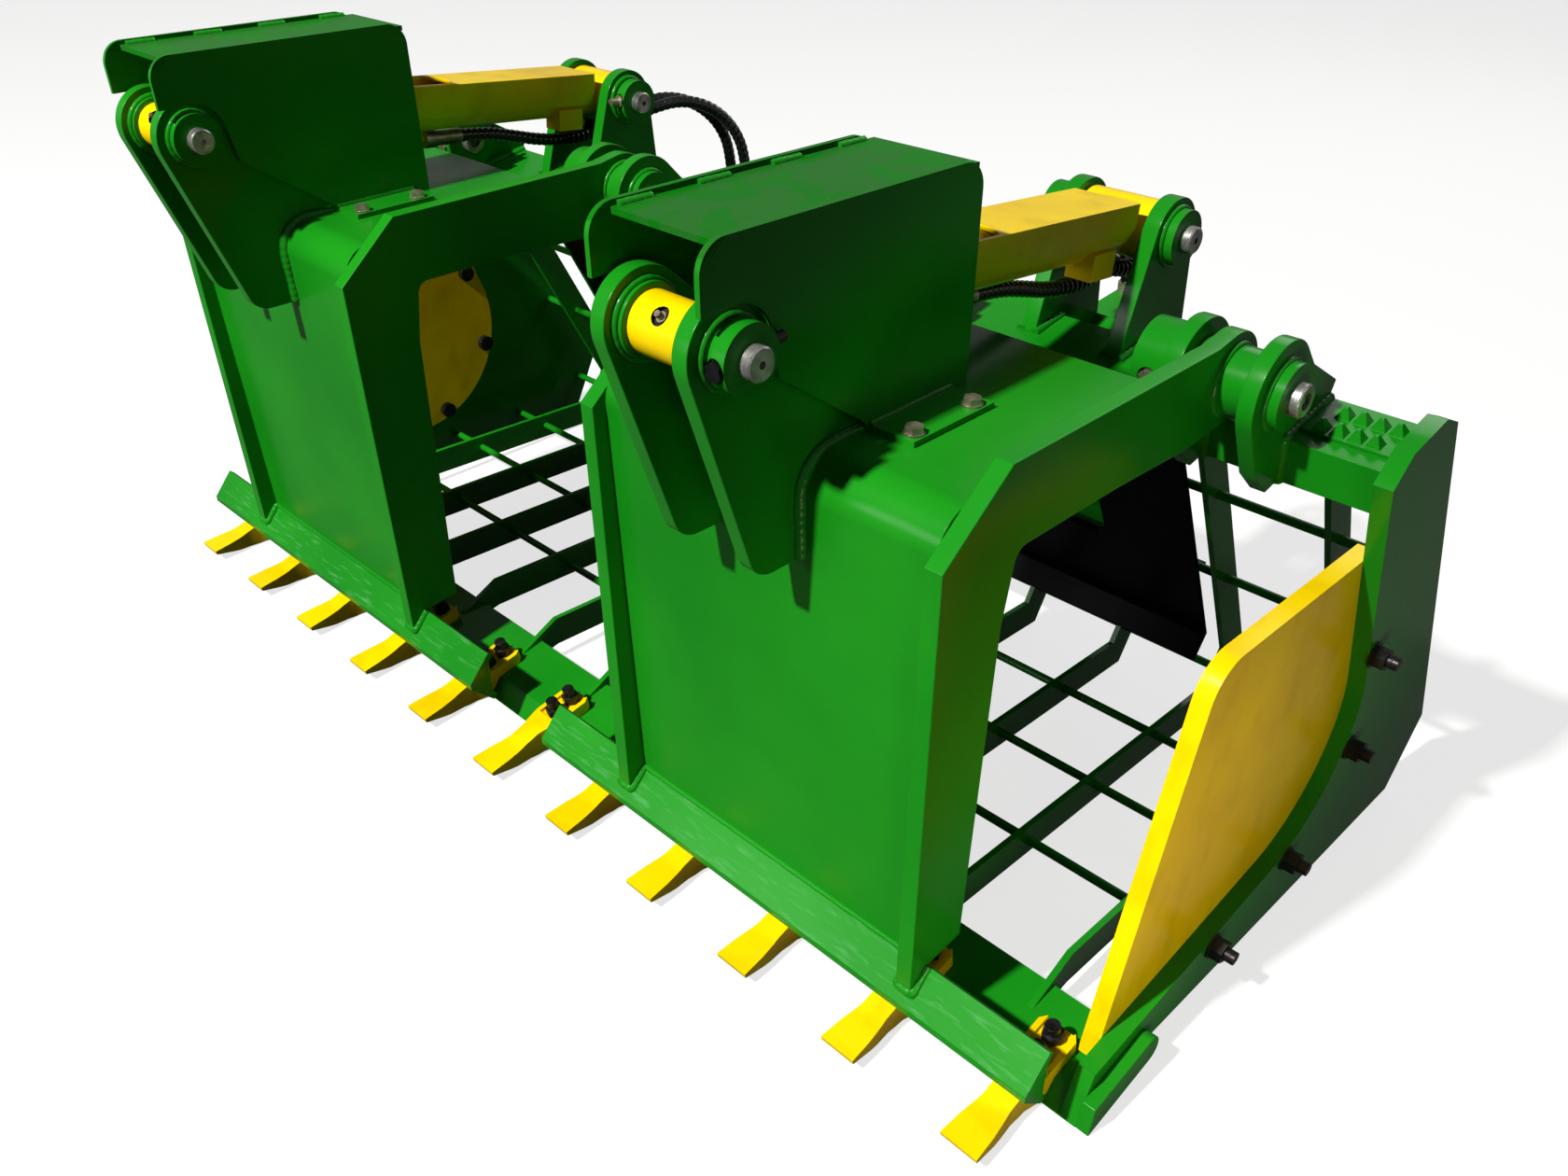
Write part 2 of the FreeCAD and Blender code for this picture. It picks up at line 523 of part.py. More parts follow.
tread_back = (size("beam_depth") - size("tread_wide")) / 2
tread_start = SIDES["right"] + LUG_OUT + size("lug_thick") + size("tread_gap")
tread_long = INSIDE - size("tread_inset") - tread_start
tread_front = moved(BEAM_A, BEAM_BACK, tread_back)
tread_rear = moved(tread_front, BEAM_BACK, size("tread_wide"))
tread = wall([tread_front, tread_rear, moved(tread_rear, BEAM_DOWN, -size("tread_thick")),
              moved(tread_front, BEAM_DOWN, -size("tread_thick"))], tread_start, tread_long)
studs = []
columns = int((tread_long - size("stud_base")) / size("stud_pitch"))
first_stud = tread_start + (tread_long - (columns - 1) * size("stud_pitch")) / 2
for row in (-1, 1):    # the rear row stands half a pitch further out
    for column in range(columns):
        studs.append(stud(first_stud + (column + row / 4) * size("stud_pitch"),
                          size("beam_depth") / 2 + row * size("stud_row_pitch") / 2))
solids("grip_treads", both_hands([joined([tread] + studs)]))

# Ribs of flat bar on edge, and the rods that run through them

RIB_PATH = [HEEL, TOE, TAIL, RIB_TOP]
rib_inner = offset_path(RIB_PATH, size("rib_depth"))
rib_inner[-1] = meet(rib_inner[-2], BACK_UP, BEAM_D, BEAM_BACK)
rod_path = offset_path(RIB_PATH, size("rod_inset"))
floor_line = (rod_path[0], between(rod_path[0], rod_path[1]))
rods = [meet(*floor_line, (size(name), 0), (0, 1)) for name in ("rod_one_y", "rod_two_y", "rod_three_y")]
rods.append(((rod_path[1][0] + rod_path[2][0]) / 2, (rod_path[1][1] + rod_path[2][1]) / 2))
rods += [meet(rod_path[2], BACK_UP, (0, size(name)), (1, 0)) for name in ("rod_low_z", "rod_high_z")]
feature("cross_rods", Part.makeCompound(
    [across(centre, size("rod_r"), -INSIDE, 2 * INSIDE) for centre in rods]))
rod_holes = [across(centre, size("rod_r") + size("rod_gap"), -HALF, 2 * HALF) for centre in rods]

rib_start = meet(on_lip(0, size("lip_thick")), LIP_BACK, (size("rib_start_y"), 0), (0, 1))
floor_rib = [rib_start, on_lip(size("lip_depth"), size("lip_thick")), on_lip(size("lip_depth"), 0),
             HEEL, TOE, TAIL, rib_inner[2], rib_inner[1], rib_inner[0]]
back_rib = [TAIL, RIB_TOP, rib_inner[3], rib_inner[2]]
RIBS = spread(INSIDE - size("rib_end_gap") - size("rib_thick") / 2, size("ribs_each_side"))
for label, outline in (("floor_ribs", floor_rib), ("back_ribs", back_rib)):
    rib = wall(outline, -size("rib_thick") / 2, size("rib_thick"))
    solids(label, [rib.translated(Vector(x, 0, 0)).cut(rod_holes) for x in RIBS])

# Liner plate on the inside of the back, with its window and its bent foot

liner_back = [(size("liner_foot_y"), size("liner_foot_z")),
              meet(rib_inner[3], BACK_UP, (0, size("liner_bend_z")), (1, 0)), rib_inner[3]]
liner_front = offset_path(liner_back, size("liner_thick"))
liner_front[-1] = meet(liner_front[-2], BACK_UP, BEAM_D, BEAM_BACK)
liner = wall(liner_back + liner_front[::-1], -size("liner_wide") / 2, size("liner_wide"))


def window(wide, low, high):
    """A round-cornered opening through the back, cut along Y."""
    box = Part.makeBox(wide, size("bucket_width"), high - low, Vector(-wide / 2, 0, low))
    along = [edge for edge in box.Edges if edge.BoundBox.YLength > high - low + wide]
    return box.makeFillet(size("window_r"), along)


feature("liner_plate", liner.cut(
    window(size("window_wide"), size("window_low_z"), size("window_high_z"))))

# Quick-attach plate on the back: flat, with a top hook and a slotted bottom lip

HOOK = (size("tower_rear_y"), size("hook_z"))
coupler_front = [(size("coupler_lip_y"), size("coupler_lip_z")),
                 meet(TAIL, BACK_UP, (0, size("coupler_low_z")), (1, 0)), RIB_TOP, HOOK]
coupler_rear = offset_path(coupler_front, -size("coupler_thick"))
coupler = wall(coupler_front + coupler_rear[::-1], -size("coupler_wide") / 2, size("coupler_wide"))
coupler = coupler.cut(window(size("opening_wide"), size("opening_low_z"), size("opening_high_z")))
lip_middle = moved(coupler_front[0], between(coupler_front[0], coupler_front[1]),
                   size("coupler_lip_y") / 2 - coupler_front[1][0] / 2)
slots = []
for side in (-1, 1):
    corner = Vector(side * size("slot_pitch") / 2 - size("slot_long") / 2,
                    lip_middle[0] - size("slot_wide") / 2, 0)
    slots.append(Part.makeBox(size("slot_long"), size("slot_wide"), size("hook_z"), corner))
feature("quick_attach_plate", coupler.cut(slots))

# Hinge lugs, pins and collars on the beam, two hinges to an arm pair

def pin(centre, radius, hole_r, hole_deep, x, end_x):
    """A pin along X with a greasing hole in each end."""
    bar = across(centre, radius, x, end_x - x)
    rims = [edge for edge in bar.Edges if edge.Closed]
    bar = bar.makeChamfer(size("pin_chamfer"), rims)
    return bar.cut([across(centre, hole_r, x - PAST, hole_deep + PAST),
                    across(centre, hole_r, end_x - hole_deep, hole_deep + PAST)])


def nipple(start, way):
    """A grease nipple that stands along a direction."""
    return joined([Part.makeCylinder(size("nipple_base_r"), size("nipple_base_high"), start, way),
                   Part.makeCylinder(size("nipple_r"), size("nipple_high"), start, way)])


def kept_collar(centre, outer, pin_shape, pin_r, x, long, bolt_x, turn):
    """A collar, its keeper bolt through collar and pin, and the pin with the bolt's hole.

    The turn is the bolt's direction from its head to its nut.
    """
    along = turned(turn)
    way = Vector(0, *along)
    seat = outer - size("keeper_sink")
    high = size("keeper_nut_high")

    def at(distance):
        return Vector(bolt_x, *moved(centre, along, distance))

    shank_end = seat + high + size("keeper_tail")
    keeper = joined([Part.makeCylinder(size("keeper_r"), seat + shank_end, at(-seat), way),
                     hexagon_towards(at(seat), size("keeper_flats"), high, way),
                     hexagon_towards(at(-seat - high), size("keeper_flats"), high, way)])
    hole = Part.makeCylinder(size("keeper_r") + size("keeper_gap"), 2 * outer, at(-outer), way)
    sink = size("keeper_sink") + PAST
    faces = [Part.makeCylinder(size("keeper_face_r"), sink, at(seat), way),
             Part.makeCylinder(size("keeper_face_r"), sink, at(-outer - PAST), way)]
    collar = tube(centre, outer, pin_r, x, long).cut([hole] + faces)
    return collar, keeper, pin_shape.cut(hole)


def grooved(collar, centre, x):
    """A collar with a narrow groove round it, beside the lug at x."""
    return collar.cut(tube(centre, size("boss_r") + PAST, size("boss_r") - size("groove_deep"),
                           x + size("groove_out"), size("groove_wide")))


hinge_outline = [(size("lug_tail_front"), size("lug_tail_rise")), (size("lug_tail_y"), size("lug_tail_z")),
                 BEAM_D, BEAM_A, BEAM_B, (size("lug_drop_y"), size("lug_drop_z")),
                 (size("lug_back_y"), size("lug_back_z"))]
hinge_outline.append(round_eye(HINGE, size("lug_eye_r"), hinge_outline[-1], hinge_outline[0]))
tower_front = meet(BEAM_A, BEAM_BACK, (size("tower_foot_y"), 0), (0, 1))
tower_outline = [tower_front, BEAM_B, BEAM_C, RIB_TOP, HOOK, (size("tower_rear_y"), size("tower_rear_z"))]
tower_outline.append(round_eye(TOWER, size("tower_eye_r"), tower_outline[-1], tower_front))


# one hinge, right of a grapple's middle plane: lugs, a plain collar outside and a long one inside
collar_out = LUG_OUT + size("lug_thick")
collar_in = LUG_IN - size("clamp_collar_long")
hinge_ends = (collar_in - size("pin_stand"), collar_out + size("lug_collar_long") + size("pin_stand"))
hinge_bore = across(HINGE, size("hinge_pin_r"), -HALF, 2 * HALF)
hinge_lug_pair = [wall(hinge_outline, x, size("lug_thick")).cut(hinge_bore) for x in (LUG_OUT, LUG_IN)]
hinge_plain = tube(HINGE, size("lug_collar_r"), size("hinge_pin_r"), collar_out, size("lug_collar_long"))
hinge_pin = pin(HINGE, size("hinge_pin_r"), size("hinge_hole_r"), size("hinge_hole_deep"), *hinge_ends)
hinge_collar, hinge_keeper, hinge_pin = kept_collar(
    HINGE, size("clamp_collar_r"), hinge_pin, size("hinge_pin_r"), collar_in,
    size("clamp_collar_long"), collar_in + size("clamp_collar_long") / 2, size("hinge_keeper_turn"))
hinge_nipples = [
    nipple(Vector(hinge_ends[0] + size("hinge_hole_deep"), *HINGE), Vector(-1, 0, 0)),
    nipple(Vector(hinge_ends[1] - size("hinge_hole_deep"), *HINGE), Vector(1, 0, 0))]
hinge_pin = joined([hinge_pin] + hinge_nipples)

# one tower, with the long collar inboard
tower_lug_x = size("tower_gap") / 2
tower_bore = across(TOWER, size("pin_r"), -HALF, 2 * HALF)
tower_lug = wall(tower_outline, tower_lug_x, size("tower_thick")).cut(tower_bore)
tower_ear = tower_lug_x + size("tower_thick")
tower_plain = tube(TOWER, size("boss_r"), size("pin_r"), tower_ear, size("boss_long"))
tower_pin = pin(TOWER, size("pin_r"), size("grease_hole_r"), size("grease_hole_deep"),
                -tower_ear - size("tower_clamp_long") - size("pin_show"),
                tower_ear + size("boss_long") + size("pin_show"))
tower_collar, tower_keeper, tower_pin = kept_collar(
    TOWER, size("boss_r"), tower_pin, size("pin_r"), -tower_ear - size("tower_clamp_long"),
    size("tower_clamp_long"), -tower_ear - size("keeper_out"), size("tower_keeper_turn"))
tower_collar = grooved(tower_collar, TOWER, -tower_ear - 2 * size("groove_out") - size("groove_wide"))

hinge_lugs, hinge_pins, tower_lugs, tower_pins, collars = [], [], [], [], []
for side in SIDES:
    hinge_lugs += [to_side(shape, side) for shape in both_hands(hinge_lug_pair)]
    hinge_pins += [to_side(shape, side) for shape in both_hands([hinge_pin])]
    tower_lugs += [to_side(shape, side) for shape in both_hands([tower_lug])]
    tower_pins.append(to_side(tower_pin, side))
    rings = both_hands([hinge_plain, hinge_collar, hinge_keeper])
    collars += [to_side(shape, side) for shape in rings + [tower_plain, tower_collar, tower_keeper]]
solids("hinge_lugs", hinge_lugs)
solids("hinge_pins", hinge_pins)
solids("tower_lugs", tower_lugs)
solids("tower_pins", tower_pins)
solids("pin_collars", collars)

# Grapples: side-view outlines of the arm plates, the bent face plate and the lip

EDGE = (size("edge_top_y"), size("edge_top_z"))
NOSE_HIGH = (size("edge_nose_y"), size("edge_nose_top"))
NOSE_LOW = (size("edge_nose_y"), size("edge_nose_low"))
FOOT = (size("edge_foot_y"), size("edge_foot_z"))
LEG_UP = between(NOSE_HIGH, EDGE)
shin_foot = meet(NOSE_HIGH, LEG_UP, (0, size("arm_foot_z")), (1, 0))
arm_outline = [(size("arm_brow_y"), size("arm_top_z")), (size("arm_cheek_y"), size("arm_cheek_z")),
               (size("arm_shin_y"), size("arm_shin_z")), shin_foot, EDGE,
               (size("arm_heel_y"), size("arm_heel_z")), (size("arm_knee_y"), size("arm_knee_z")),
               (size("arm_inner_y"), size("arm_inner_z"), size("arm_bend_r")),
               (size("arm_waist_y"), size("arm_waist_z")), (size("arm_low_y"), size("arm_low_z"))]
arm_back = (size("arm_back_y"), size("arm_top_z"))
arm_outline.append(round_eye(HINGE, size("arm_eye_r"), arm_outline[-1], arm_back))
arm_outline.append(arm_back)
arm_hole = across(HINGE, size("hinge_pin_r") + size("pin_gap"), -HALF, 2 * HALF)

face_low = (size("face_low_y"), size("edge_top_z"))
face_along = between(face_low, (size("face_high_y"), size("face_high_z")))
face_corner = meet(face_low, face_along, (0, size("face_top_z")), (1, 0))
face_outer = [face_low, face_corner, (size("face_back_y"), size("face_top_z"))]
face_inner = offset_path(face_outer, -size("face_thick"))
bend = size("face_bend_r")
face_outline = [face_outer[0], (*face_outer[1], bend), face_outer[2], face_inner[2],
                (*face_inner[1], bend - size("face_thick")), face_inner[0]]
face_wide = size("arm_span") - 2 * size("arm_thick")

lip_outer = [FOOT, NOSE_LOW, NOSE_HIGH, EDGE]
lip_inner = offset_path(lip_outer, -size("grapple_lip_thick"))

# the front lugs stand on the face plate and follow its bend
bend_lean = math.degrees(math.atan2(face_along[0], face_along[1]))
bend_middle = (face_corner[0] + bend * math.tan(math.radians(45 - bend_lean / 2)), face_corner[1] - bend)
bend_arc = (bend_middle[0], bend_middle[1], bend, 180 - bend_lean, 90)
front_heel = meet(face_low, face_along, (0, size("front_foot_z")), (1, 0))
front_back = (size("front_back_y"), size("face_top_z"))
front_foot = (size("front_foot_y"), size("front_foot_z"), size("front_foot_r"))
front_outline = [front_foot, front_heel, bend_arc, front_back,
                 round_eye(FRONT, size("front_eye_r"), front_back, front_foot[:2])]

side_items = [(size("cover_toe_y"), size("cover_toe_z")), (size("cover_heel_y"), size("cover_heel_z")),
              (size("cover_seat_y"), size("face_top_z")), (size("cover_back_y"), size("face_top_z")),
              (size("cover_back_y"), size("cover_top_back"), size("cover_corner_r")),
              (size("cover_front_y"), size("cover_top_front"), size("cover_corner_r")),
              (size("cover_front_y"), size("cover_low_z")),
              (*FRONT, size("cover_scallop_r"), size("cover_scallop_turn"), 0)]
flange_items = [(size("cover_seat_y"), size("face_top_z")), (size("flange_back_y"), size("face_top_z")),
                (size("flange_back_y"), size("face_top_z") + size("cover_thick")),
                (size("cover_seat_y"), size("face_top_z") + size("cover_thick"))]
top_line = ((size("cover_front_y"), size("cover_top_front")),
            (size("cover_back_y"), size("cover_top_back")))
top_low = offset_path(list(top_line), -size("cover_top_drop") - size("cover_thick"))
top_high = offset_path(list(top_line), -size("cover_top_drop"))
trim_front = (size("cover_top_front_y"), 0)
top_items = [meet(top_low[0], between(*top_low), trim_front, (0, 1)), top_low[1], top_high[1],
             meet(top_high[0], between(*top_high), trim_front, (0, 1))]
cover_bolts = [(size("cover_bolt_out"), size(name)) for name in ("cover_bolt_front", "cover_bolt_back")]

# Cylinders: places are counted from the tower pin along the cylinder, and up square to it

AXIS = between(TOWER, FRONT)
AXIS_UP = (AXIS[1], -AXIS[0])
CYLINDER = math.hypot(FRONT[0] - TOWER[0], FRONT[1] - TOWER[1])


def by_axis(along, up):
    return moved(moved(TOWER, AXIS, along), AXIS_UP, up)


def on_axis(radius, start, end, x=0, up=0):
    """A round bar along the cylinder."""
    return Part.makeCylinder(radius, end - start, Vector(x, *by_axis(start, up)), Vector(0, *AXIS))


def on_top(start, end, low, high, x, wide):
    """A block over the cylinder, from start to end along it and from low to high above it."""
    corners = [by_axis(start, low), by_axis(end, low), by_axis(end, high), by_axis(start, high)]
    return wall(corners, x, wide)


GUARD_TOP = size("barrel_r") + size("guard_gap") + size("guard_thick")


def guard_section(along):
    """The channel's cross section as a face."""
    half, top = size("guard_half"), GUARD_TOP
    side = top - size("guard_side")
    toe = (half - size("guard_toe_in"), side - size("guard_toe_down"))
    thick = size("guard_thick")
    right = [(half, top), (half, side), toe, (toe[0] - thick, toe[1]), (half - thick, side),
             (half - thick, top - thick)]
    points = right + [(-x, up) for x, up in reversed(right)]
    wire = [Vector(x, *by_axis(along, up)) for x, up in points]
    return Part.Face(Part.makePolygon(wire + wire[:1]))


def routed(points, radius):
    """A hose along the points, its corners turned in arcs, and its printed bends."""
    points = [Vector(*point) for point in points]
    edges, bends = [], []
    start = points[0]
    for before, corner, after in zip(points, points[1:], points[2:]):
        back, ahead = before - corner, after - corner
        half = (math.pi - back.getAngle(ahead)) / 2
        trim = 0.45 * min(back.Length, ahead.Length)
        bends.append(trim / math.tan(half))
        enter = corner + back.normalize() * trim
        leave = corner + ahead.normalize() * trim
        inward = (enter + leave) * 0.5 - corner
        depth = bends[-1] * (1 / math.cos(half) - 1)
        middle = corner + inward.normalize() * depth
        edges += [Part.makeLine(start, enter), Part.Arc(enter, middle, leave).toShape()]
        start = leave
    edges.append(Part.makeLine(start, points[-1]))
    path = Part.Wire(edges)
    ring = Part.Wire(Part.makeCircle(radius, points[0], points[1] - points[0]))
    hose = path.makePipeShell([ring], True, True)
    print("hose: smallest bend %.1f, length %.1f, volume ratio %.4f"
          % (min(bends), path.Length, hose.Volume / (math.pi * radius ** 2 * path.Length)))
    return hose


# one grapple, about its own middle plane: its arms with their hinge bosses
arm_boss = tube(HINGE, size("hinge_boss_r"), size("hinge_pin_r") + size("pin_gap"), BOSS_IN,
                size("hinge_boss_long"))
arm = wall(arm_outline, size("arm_span") / 2 - size("arm_thick"), size("arm_thick"))
arm = joined([arm.cut(arm_hole), arm_boss])

# bent face plate between the arms, with the holes for the cover's bolts
cover_holes = both_hands(
    [upright(x, y, size("cover_bolt_r"), size("face_top_z") - size("face_thick") - PAST,
             size("face_top_z") + size("cover_thick") + PAST) for x, y in cover_bolts])
face = wall(face_outline, -face_wide / 2, face_wide).cut(cover_holes)

# angle lip with closed ends
lip_half = size("lip_reach")
lip_ends = [wall(lip_outer, x, size("grapple_lip_thick"))
            for x in (-lip_half, lip_half - size("grapple_lip_thick"))]
grapple_lip = joined([wall(lip_outer + lip_inner[::-1], -lip_half, 2 * lip_half)] + lip_ends)

# front lug with its inner boss
front_lug = joined([wall(front_outline, size("front_gap") / 2, size("front_thick")),
                    across(FRONT, size("inner_boss_r"), size("front_gap") / 2 - size("inner_boss_long"),
                           size("inner_boss_long"))])
front_lug = front_lug.cut(across(FRONT, size("pin_r"), -HALF, 2 * HALF))

# cylinder cover, one welded piece bolted to the face plate
cover_in = size("cover_gap") / 2
cheek = joined([wall(side_items, cover_in, size("cover_thick")),
                wall(flange_items, cover_in, size("cover_thick") + size("flange_wide"))])
cover = joined(both_hands([cheek.cut(cover_holes)]) + [wall(top_items, -cover_in, 2 * cover_in)])


def cover_bolt(x, y):
    """A hexagon bolt with a skirt under its head, standing on the cover's flange."""
    seat = size("face_top_z") + size("cover_thick")
    low = size("face_top_z") - size("face_thick") - size("cover_bolt_tail")
    head = hexagon_towards(Vector(x, y, seat), size("cover_bolt_across"), size("cover_bolt_high"),
                           Vector(0, 0, 1))
    skirt = upright(x, y, size("cover_bolt_skirt_r"), seat, seat + size("cover_bolt_skirt"))
    return joined([head, skirt, upright(x, y, size("cover_bolt_r"), low, seat)])


# front pin, with the long collar outboard and a plain one inboard
front_ear = size("front_gap") / 2 + size("front_thick")
front_pin = pin(FRONT, size("pin_r"), size("grease_hole_r"), size("grease_hole_deep"),
                -front_ear - size("boss_long") - size("pin_show"),
                front_ear + size("tower_clamp_long") + size("pin_show"))
front_collar, front_keeper, front_pin = kept_collar(
    FRONT, size("boss_r"), front_pin, size("pin_r"), front_ear, size("tower_clamp_long"),
    front_ear + size("keeper_out"), size("front_keeper_turn"))
front_collar = grooved(front_collar, FRONT, front_ear)
front_plain = tube(FRONT, size("boss_r"), size("pin_r"), -front_ear - size("boss_long"), size("boss_long"))

# one cylinder: barrel with its rear eye
bore_start = size("rear_eye_r") + size("barrel_cap")
barrel_room = on_axis(size("barrel_r"), 0, size("barrel_reach"))
barrel = joined([across(TOWER, size("rear_eye_r"), -size("rear_eye_wide") / 2, size("rear_eye_wide")),
                 barrel_room])
barrel = barrel.cut([on_axis(size("bore_r"), bore_start, size("barrel_reach") + PAST),
                     across(TOWER, size("pin_r") + size("pin_gap"), -HALF, 2 * HALF)])

# channel guard over the barrel, on a packing strip; its top ends in an arch, its sides run on
inner = size("guard_half") - size("guard_thick")
channel = guard_section(size("guard_start")).extrude(
    Vector(0, *AXIS) * (size("guard_side_end") - size("guard_start")))
arch_centre = size("guard_end") + size("guard_scallop_r") - size("guard_scallop")
arch = Part.makeCylinder(size("guard_scallop_r"), GUARD_TOP + PAST, Vector(0, *by_axis(arch_centre, 0)),
                         Vector(0, *AXIS_UP))
arch = arch.common(on_top(0, arch_centre, 0, GUARD_TOP + PAST, -inner, 2 * inner))
open_top = on_top(arch_centre - PAST, size("guard_side_end") + PAST, 0, GUARD_TOP + PAST, -inner, 2 * inner)
strip = on_top(size("guard_start") + size("strip_inset"), size("guard_end") - size("strip_back"),
               size("barrel_r") - size("strip_sink"), size("barrel_r") + size("guard_gap"),
               -size("strip_wide") / 2, size("strip_wide")).cut(barrel_room)
guard = joined([channel.cut([arch, open_top]), strip])

# rear port block and front port pipe, both under the barrel
block = on_top(size("port_start"), size("port_start") + size("port_long"), -size("port_drop"),
               size("port_high") - size("port_drop"), size("hose_side") - size("port_wide") / 2,
               size("port_wide"))
rear_stub = (size("stub_y"), size("stub_z"))
stub_way = turned(size("stub_turn"))
stub = Part.makeCylinder(size("hose_r"), size("stub_long"), Vector(size("hose_side"), *rear_stub),
                         Vector(0, *stub_way) * -1)
rear_port = joined([block, stub]).cut(barrel_room)
gland_start = size("barrel_reach") - size("gland_long")
port_along = gland_start - size("port_back")
pipe_up = -size("barrel_r") - size("pipe_drop")
pipe_corner = Vector(-size("hose_side"), *by_axis(port_along, pipe_up))
boss_foot = Vector(-size("hose_side"), *by_axis(port_along, -size("barrel_r") - size("port_boss_drop")))
ferrule_end = size("pipe_end") - size("ferrule_long")
front_port = joined([
    Part.makeCylinder(size("pipe_r"), size("barrel_r"), pipe_corner, Vector(0, *AXIS_UP)),
    Part.makeCylinder(size("port_boss_r"), size("barrel_r"), boss_foot, Vector(0, *AXIS_UP)),
    Part.makeSphere(size("pipe_r"), pipe_corner),
    on_axis(size("pipe_r"), size("pipe_end"), port_along, -size("hose_side"), pipe_up),
    on_axis(size("ferrule_r"), ferrule_end, size("pipe_end"), -size("hose_side"), pipe_up),
    on_axis(size("ferrule_nut_r"), size("pipe_end") - size("ferrule_nut_long"), size("pipe_end"),
            -size("hose_side"), pipe_up)]).cut(barrel_room)

# gland, rod, piston and rod eye
gland = joined([on_axis(size("bore_r"), gland_start, size("barrel_reach")),
                on_axis(size("barrel_r"), size("barrel_reach"),
                        size("barrel_reach") + size("gland_flange"))])
gland = gland.cut(on_axis(size("gland_bore_r"), 0, CYLINDER))
neck_start = CYLINDER - size("eye_neck")
piston_front = gland_start - size("piston_gap")
rod = on_axis(size("shaft_r"), piston_front, neck_start)
piston = on_axis(size("piston_r"), piston_front - size("piston_long"), piston_front)
eye_half = size("front_gap") / 2 - size("inner_boss_long") - size("rod_eye_gap")
nipple_way = turned(size("nipple_turn"))
nipple_seat = Vector(0, *moved(FRONT, nipple_way, size("rod_eye_r") - size("nipple_seat_deep")))
rod_eye = joined([across(FRONT, size("rod_eye_r"), -eye_half, 2 * eye_half),
                  on_axis(size("eye_neck_r"), neck_start, CYLINDER)])
rod_eye = rod_eye.cut([across(FRONT, size("pin_r") + size("pin_gap"), -HALF, 2 * HALF),
                       Part.makeCylinder(size("nipple_seat_r"), 2 * size("nipple_seat_deep"), nipple_seat,
                                         Vector(0, *nipple_way))])
rod_eye = joined([rod_eye, nipple(nipple_seat, Vector(0, *nipple_way))])

# hoses: under the tower pin, then over the back and down to their couplers
HOSE_END = (size("hose_end_y"), size("hose_end_z"))
HOSE_DOWN = turned(size("hose_lean") - 90)
hose_tail = [(12, 756, 692), (31.2, 788.1, 698.6), (50.4, 820.2, 692), (67.3, 848.4, 673),
             (79.8, 869.3, 643.9), (size("hose_in"), 880.4, 608.2), (size("hose_in"), *HOSE_END)]
rear_start = moved(rear_stub, stub_way, size("hose_gap"))
rear_points = [(0, *rear_start), (0, 640.2, 679.7), (0, 670.9, 675.4), (0, 711, 681)] + hose_tail
front_start = by_axis(ferrule_end - size("hose_gap"), pipe_up)
front_points = [(0, *front_start), (0, 455, 696.8), (0, 503, 684), (0, 555, 668.5),
                (0, 609, 660), (0, 662, 660.5), (0, 711.4, 673)] + hose_tail


def way(side, out, points):
    """Route points (inboard shift, y, z) of the hose at one place beside the cylinder's plane."""
    inboard = -1 if side == "right" else 1
    return [(SIDES[side] + out + inboard * shift, y, z) for shift, y, z in points]


for side, middle in SIDES.items():
    across_arm = Vector(middle, 0, 0)
    feature("arm_plate_outer_" + side, to_side(arm, side))
    feature("arm_plate_inner_" + side, to_side(mirrored(arm), side))
    feature("face_plate_" + side, to_side(face, side))
    feature("grapple_lip_" + side, to_side(grapple_lip, side))
    solids("front_lugs_" + side, [to_side(shape, side) for shape in both_hands([front_lug])])
    feature("cylinder_cover_" + side, to_side(cover, side))
    fixings = both_hands([cover_bolt(x, y) for x, y in cover_bolts])
    solids("cover_bolts_" + side, [to_side(shape, side) for shape in fixings])
    rings = (front_collar, front_keeper, front_plain)
    solids("front_collars_" + side, [to_side(shape, side) for shape in rings])
    feature("front_pin_" + side, to_side(front_pin, side))
    feature("barrel_" + side, barrel.translated(across_arm))
    feature("barrel_guard_" + side, guard.translated(across_arm))
    solids("barrel_ports_" + side, [port.translated(across_arm) for port in (rear_port, front_port)])
    feature("gland_" + side, gland.translated(across_arm))
    feature("rod_" + side, rod.translated(across_arm))
    feature("piston_" + side, piston.translated(across_arm))
    feature("rod_eye_" + side, rod_eye.translated(across_arm))
    feature("rear_hose_" + side, routed(way(side, size("hose_side"), rear_points), size("hose_r")))
    feature("front_hose_" + side, routed(way(side, -size("hose_side"), front_points), size("hose_r")))

# Hose bracket on the hook, square to the hoses' ends, and the couplers that hang in it

seat = moved(HOSE_END, HOSE_DOWN, size("fitting_long"))
below = moved(seat, HOSE_DOWN, size("bracket_thick"))
flat = turned(size("hose_lean"))
low_ends = [meet(below, flat, (size(name), 0), (0, 1)) for name in ("bracket_front", "bracket_back")]
leg_back = size("bracket_front") + size("bracket_thick")
high_ends = [meet(seat, flat, (y, 0), (0, 1)) for y in (size("bracket_back"), leg_back)]
bracket_items = [HOOK, coupler_rear[-1]] + low_ends + high_ends


def hanging(x, radius, start, end):
    """A round bar down the line of a hose's end, from start to end below it."""
    return Part.makeCylinder(radius, end - start, Vector(x, *moved(HOSE_END, HOSE_DOWN, start)),
                             Vector(0, *HOSE_DOWN))


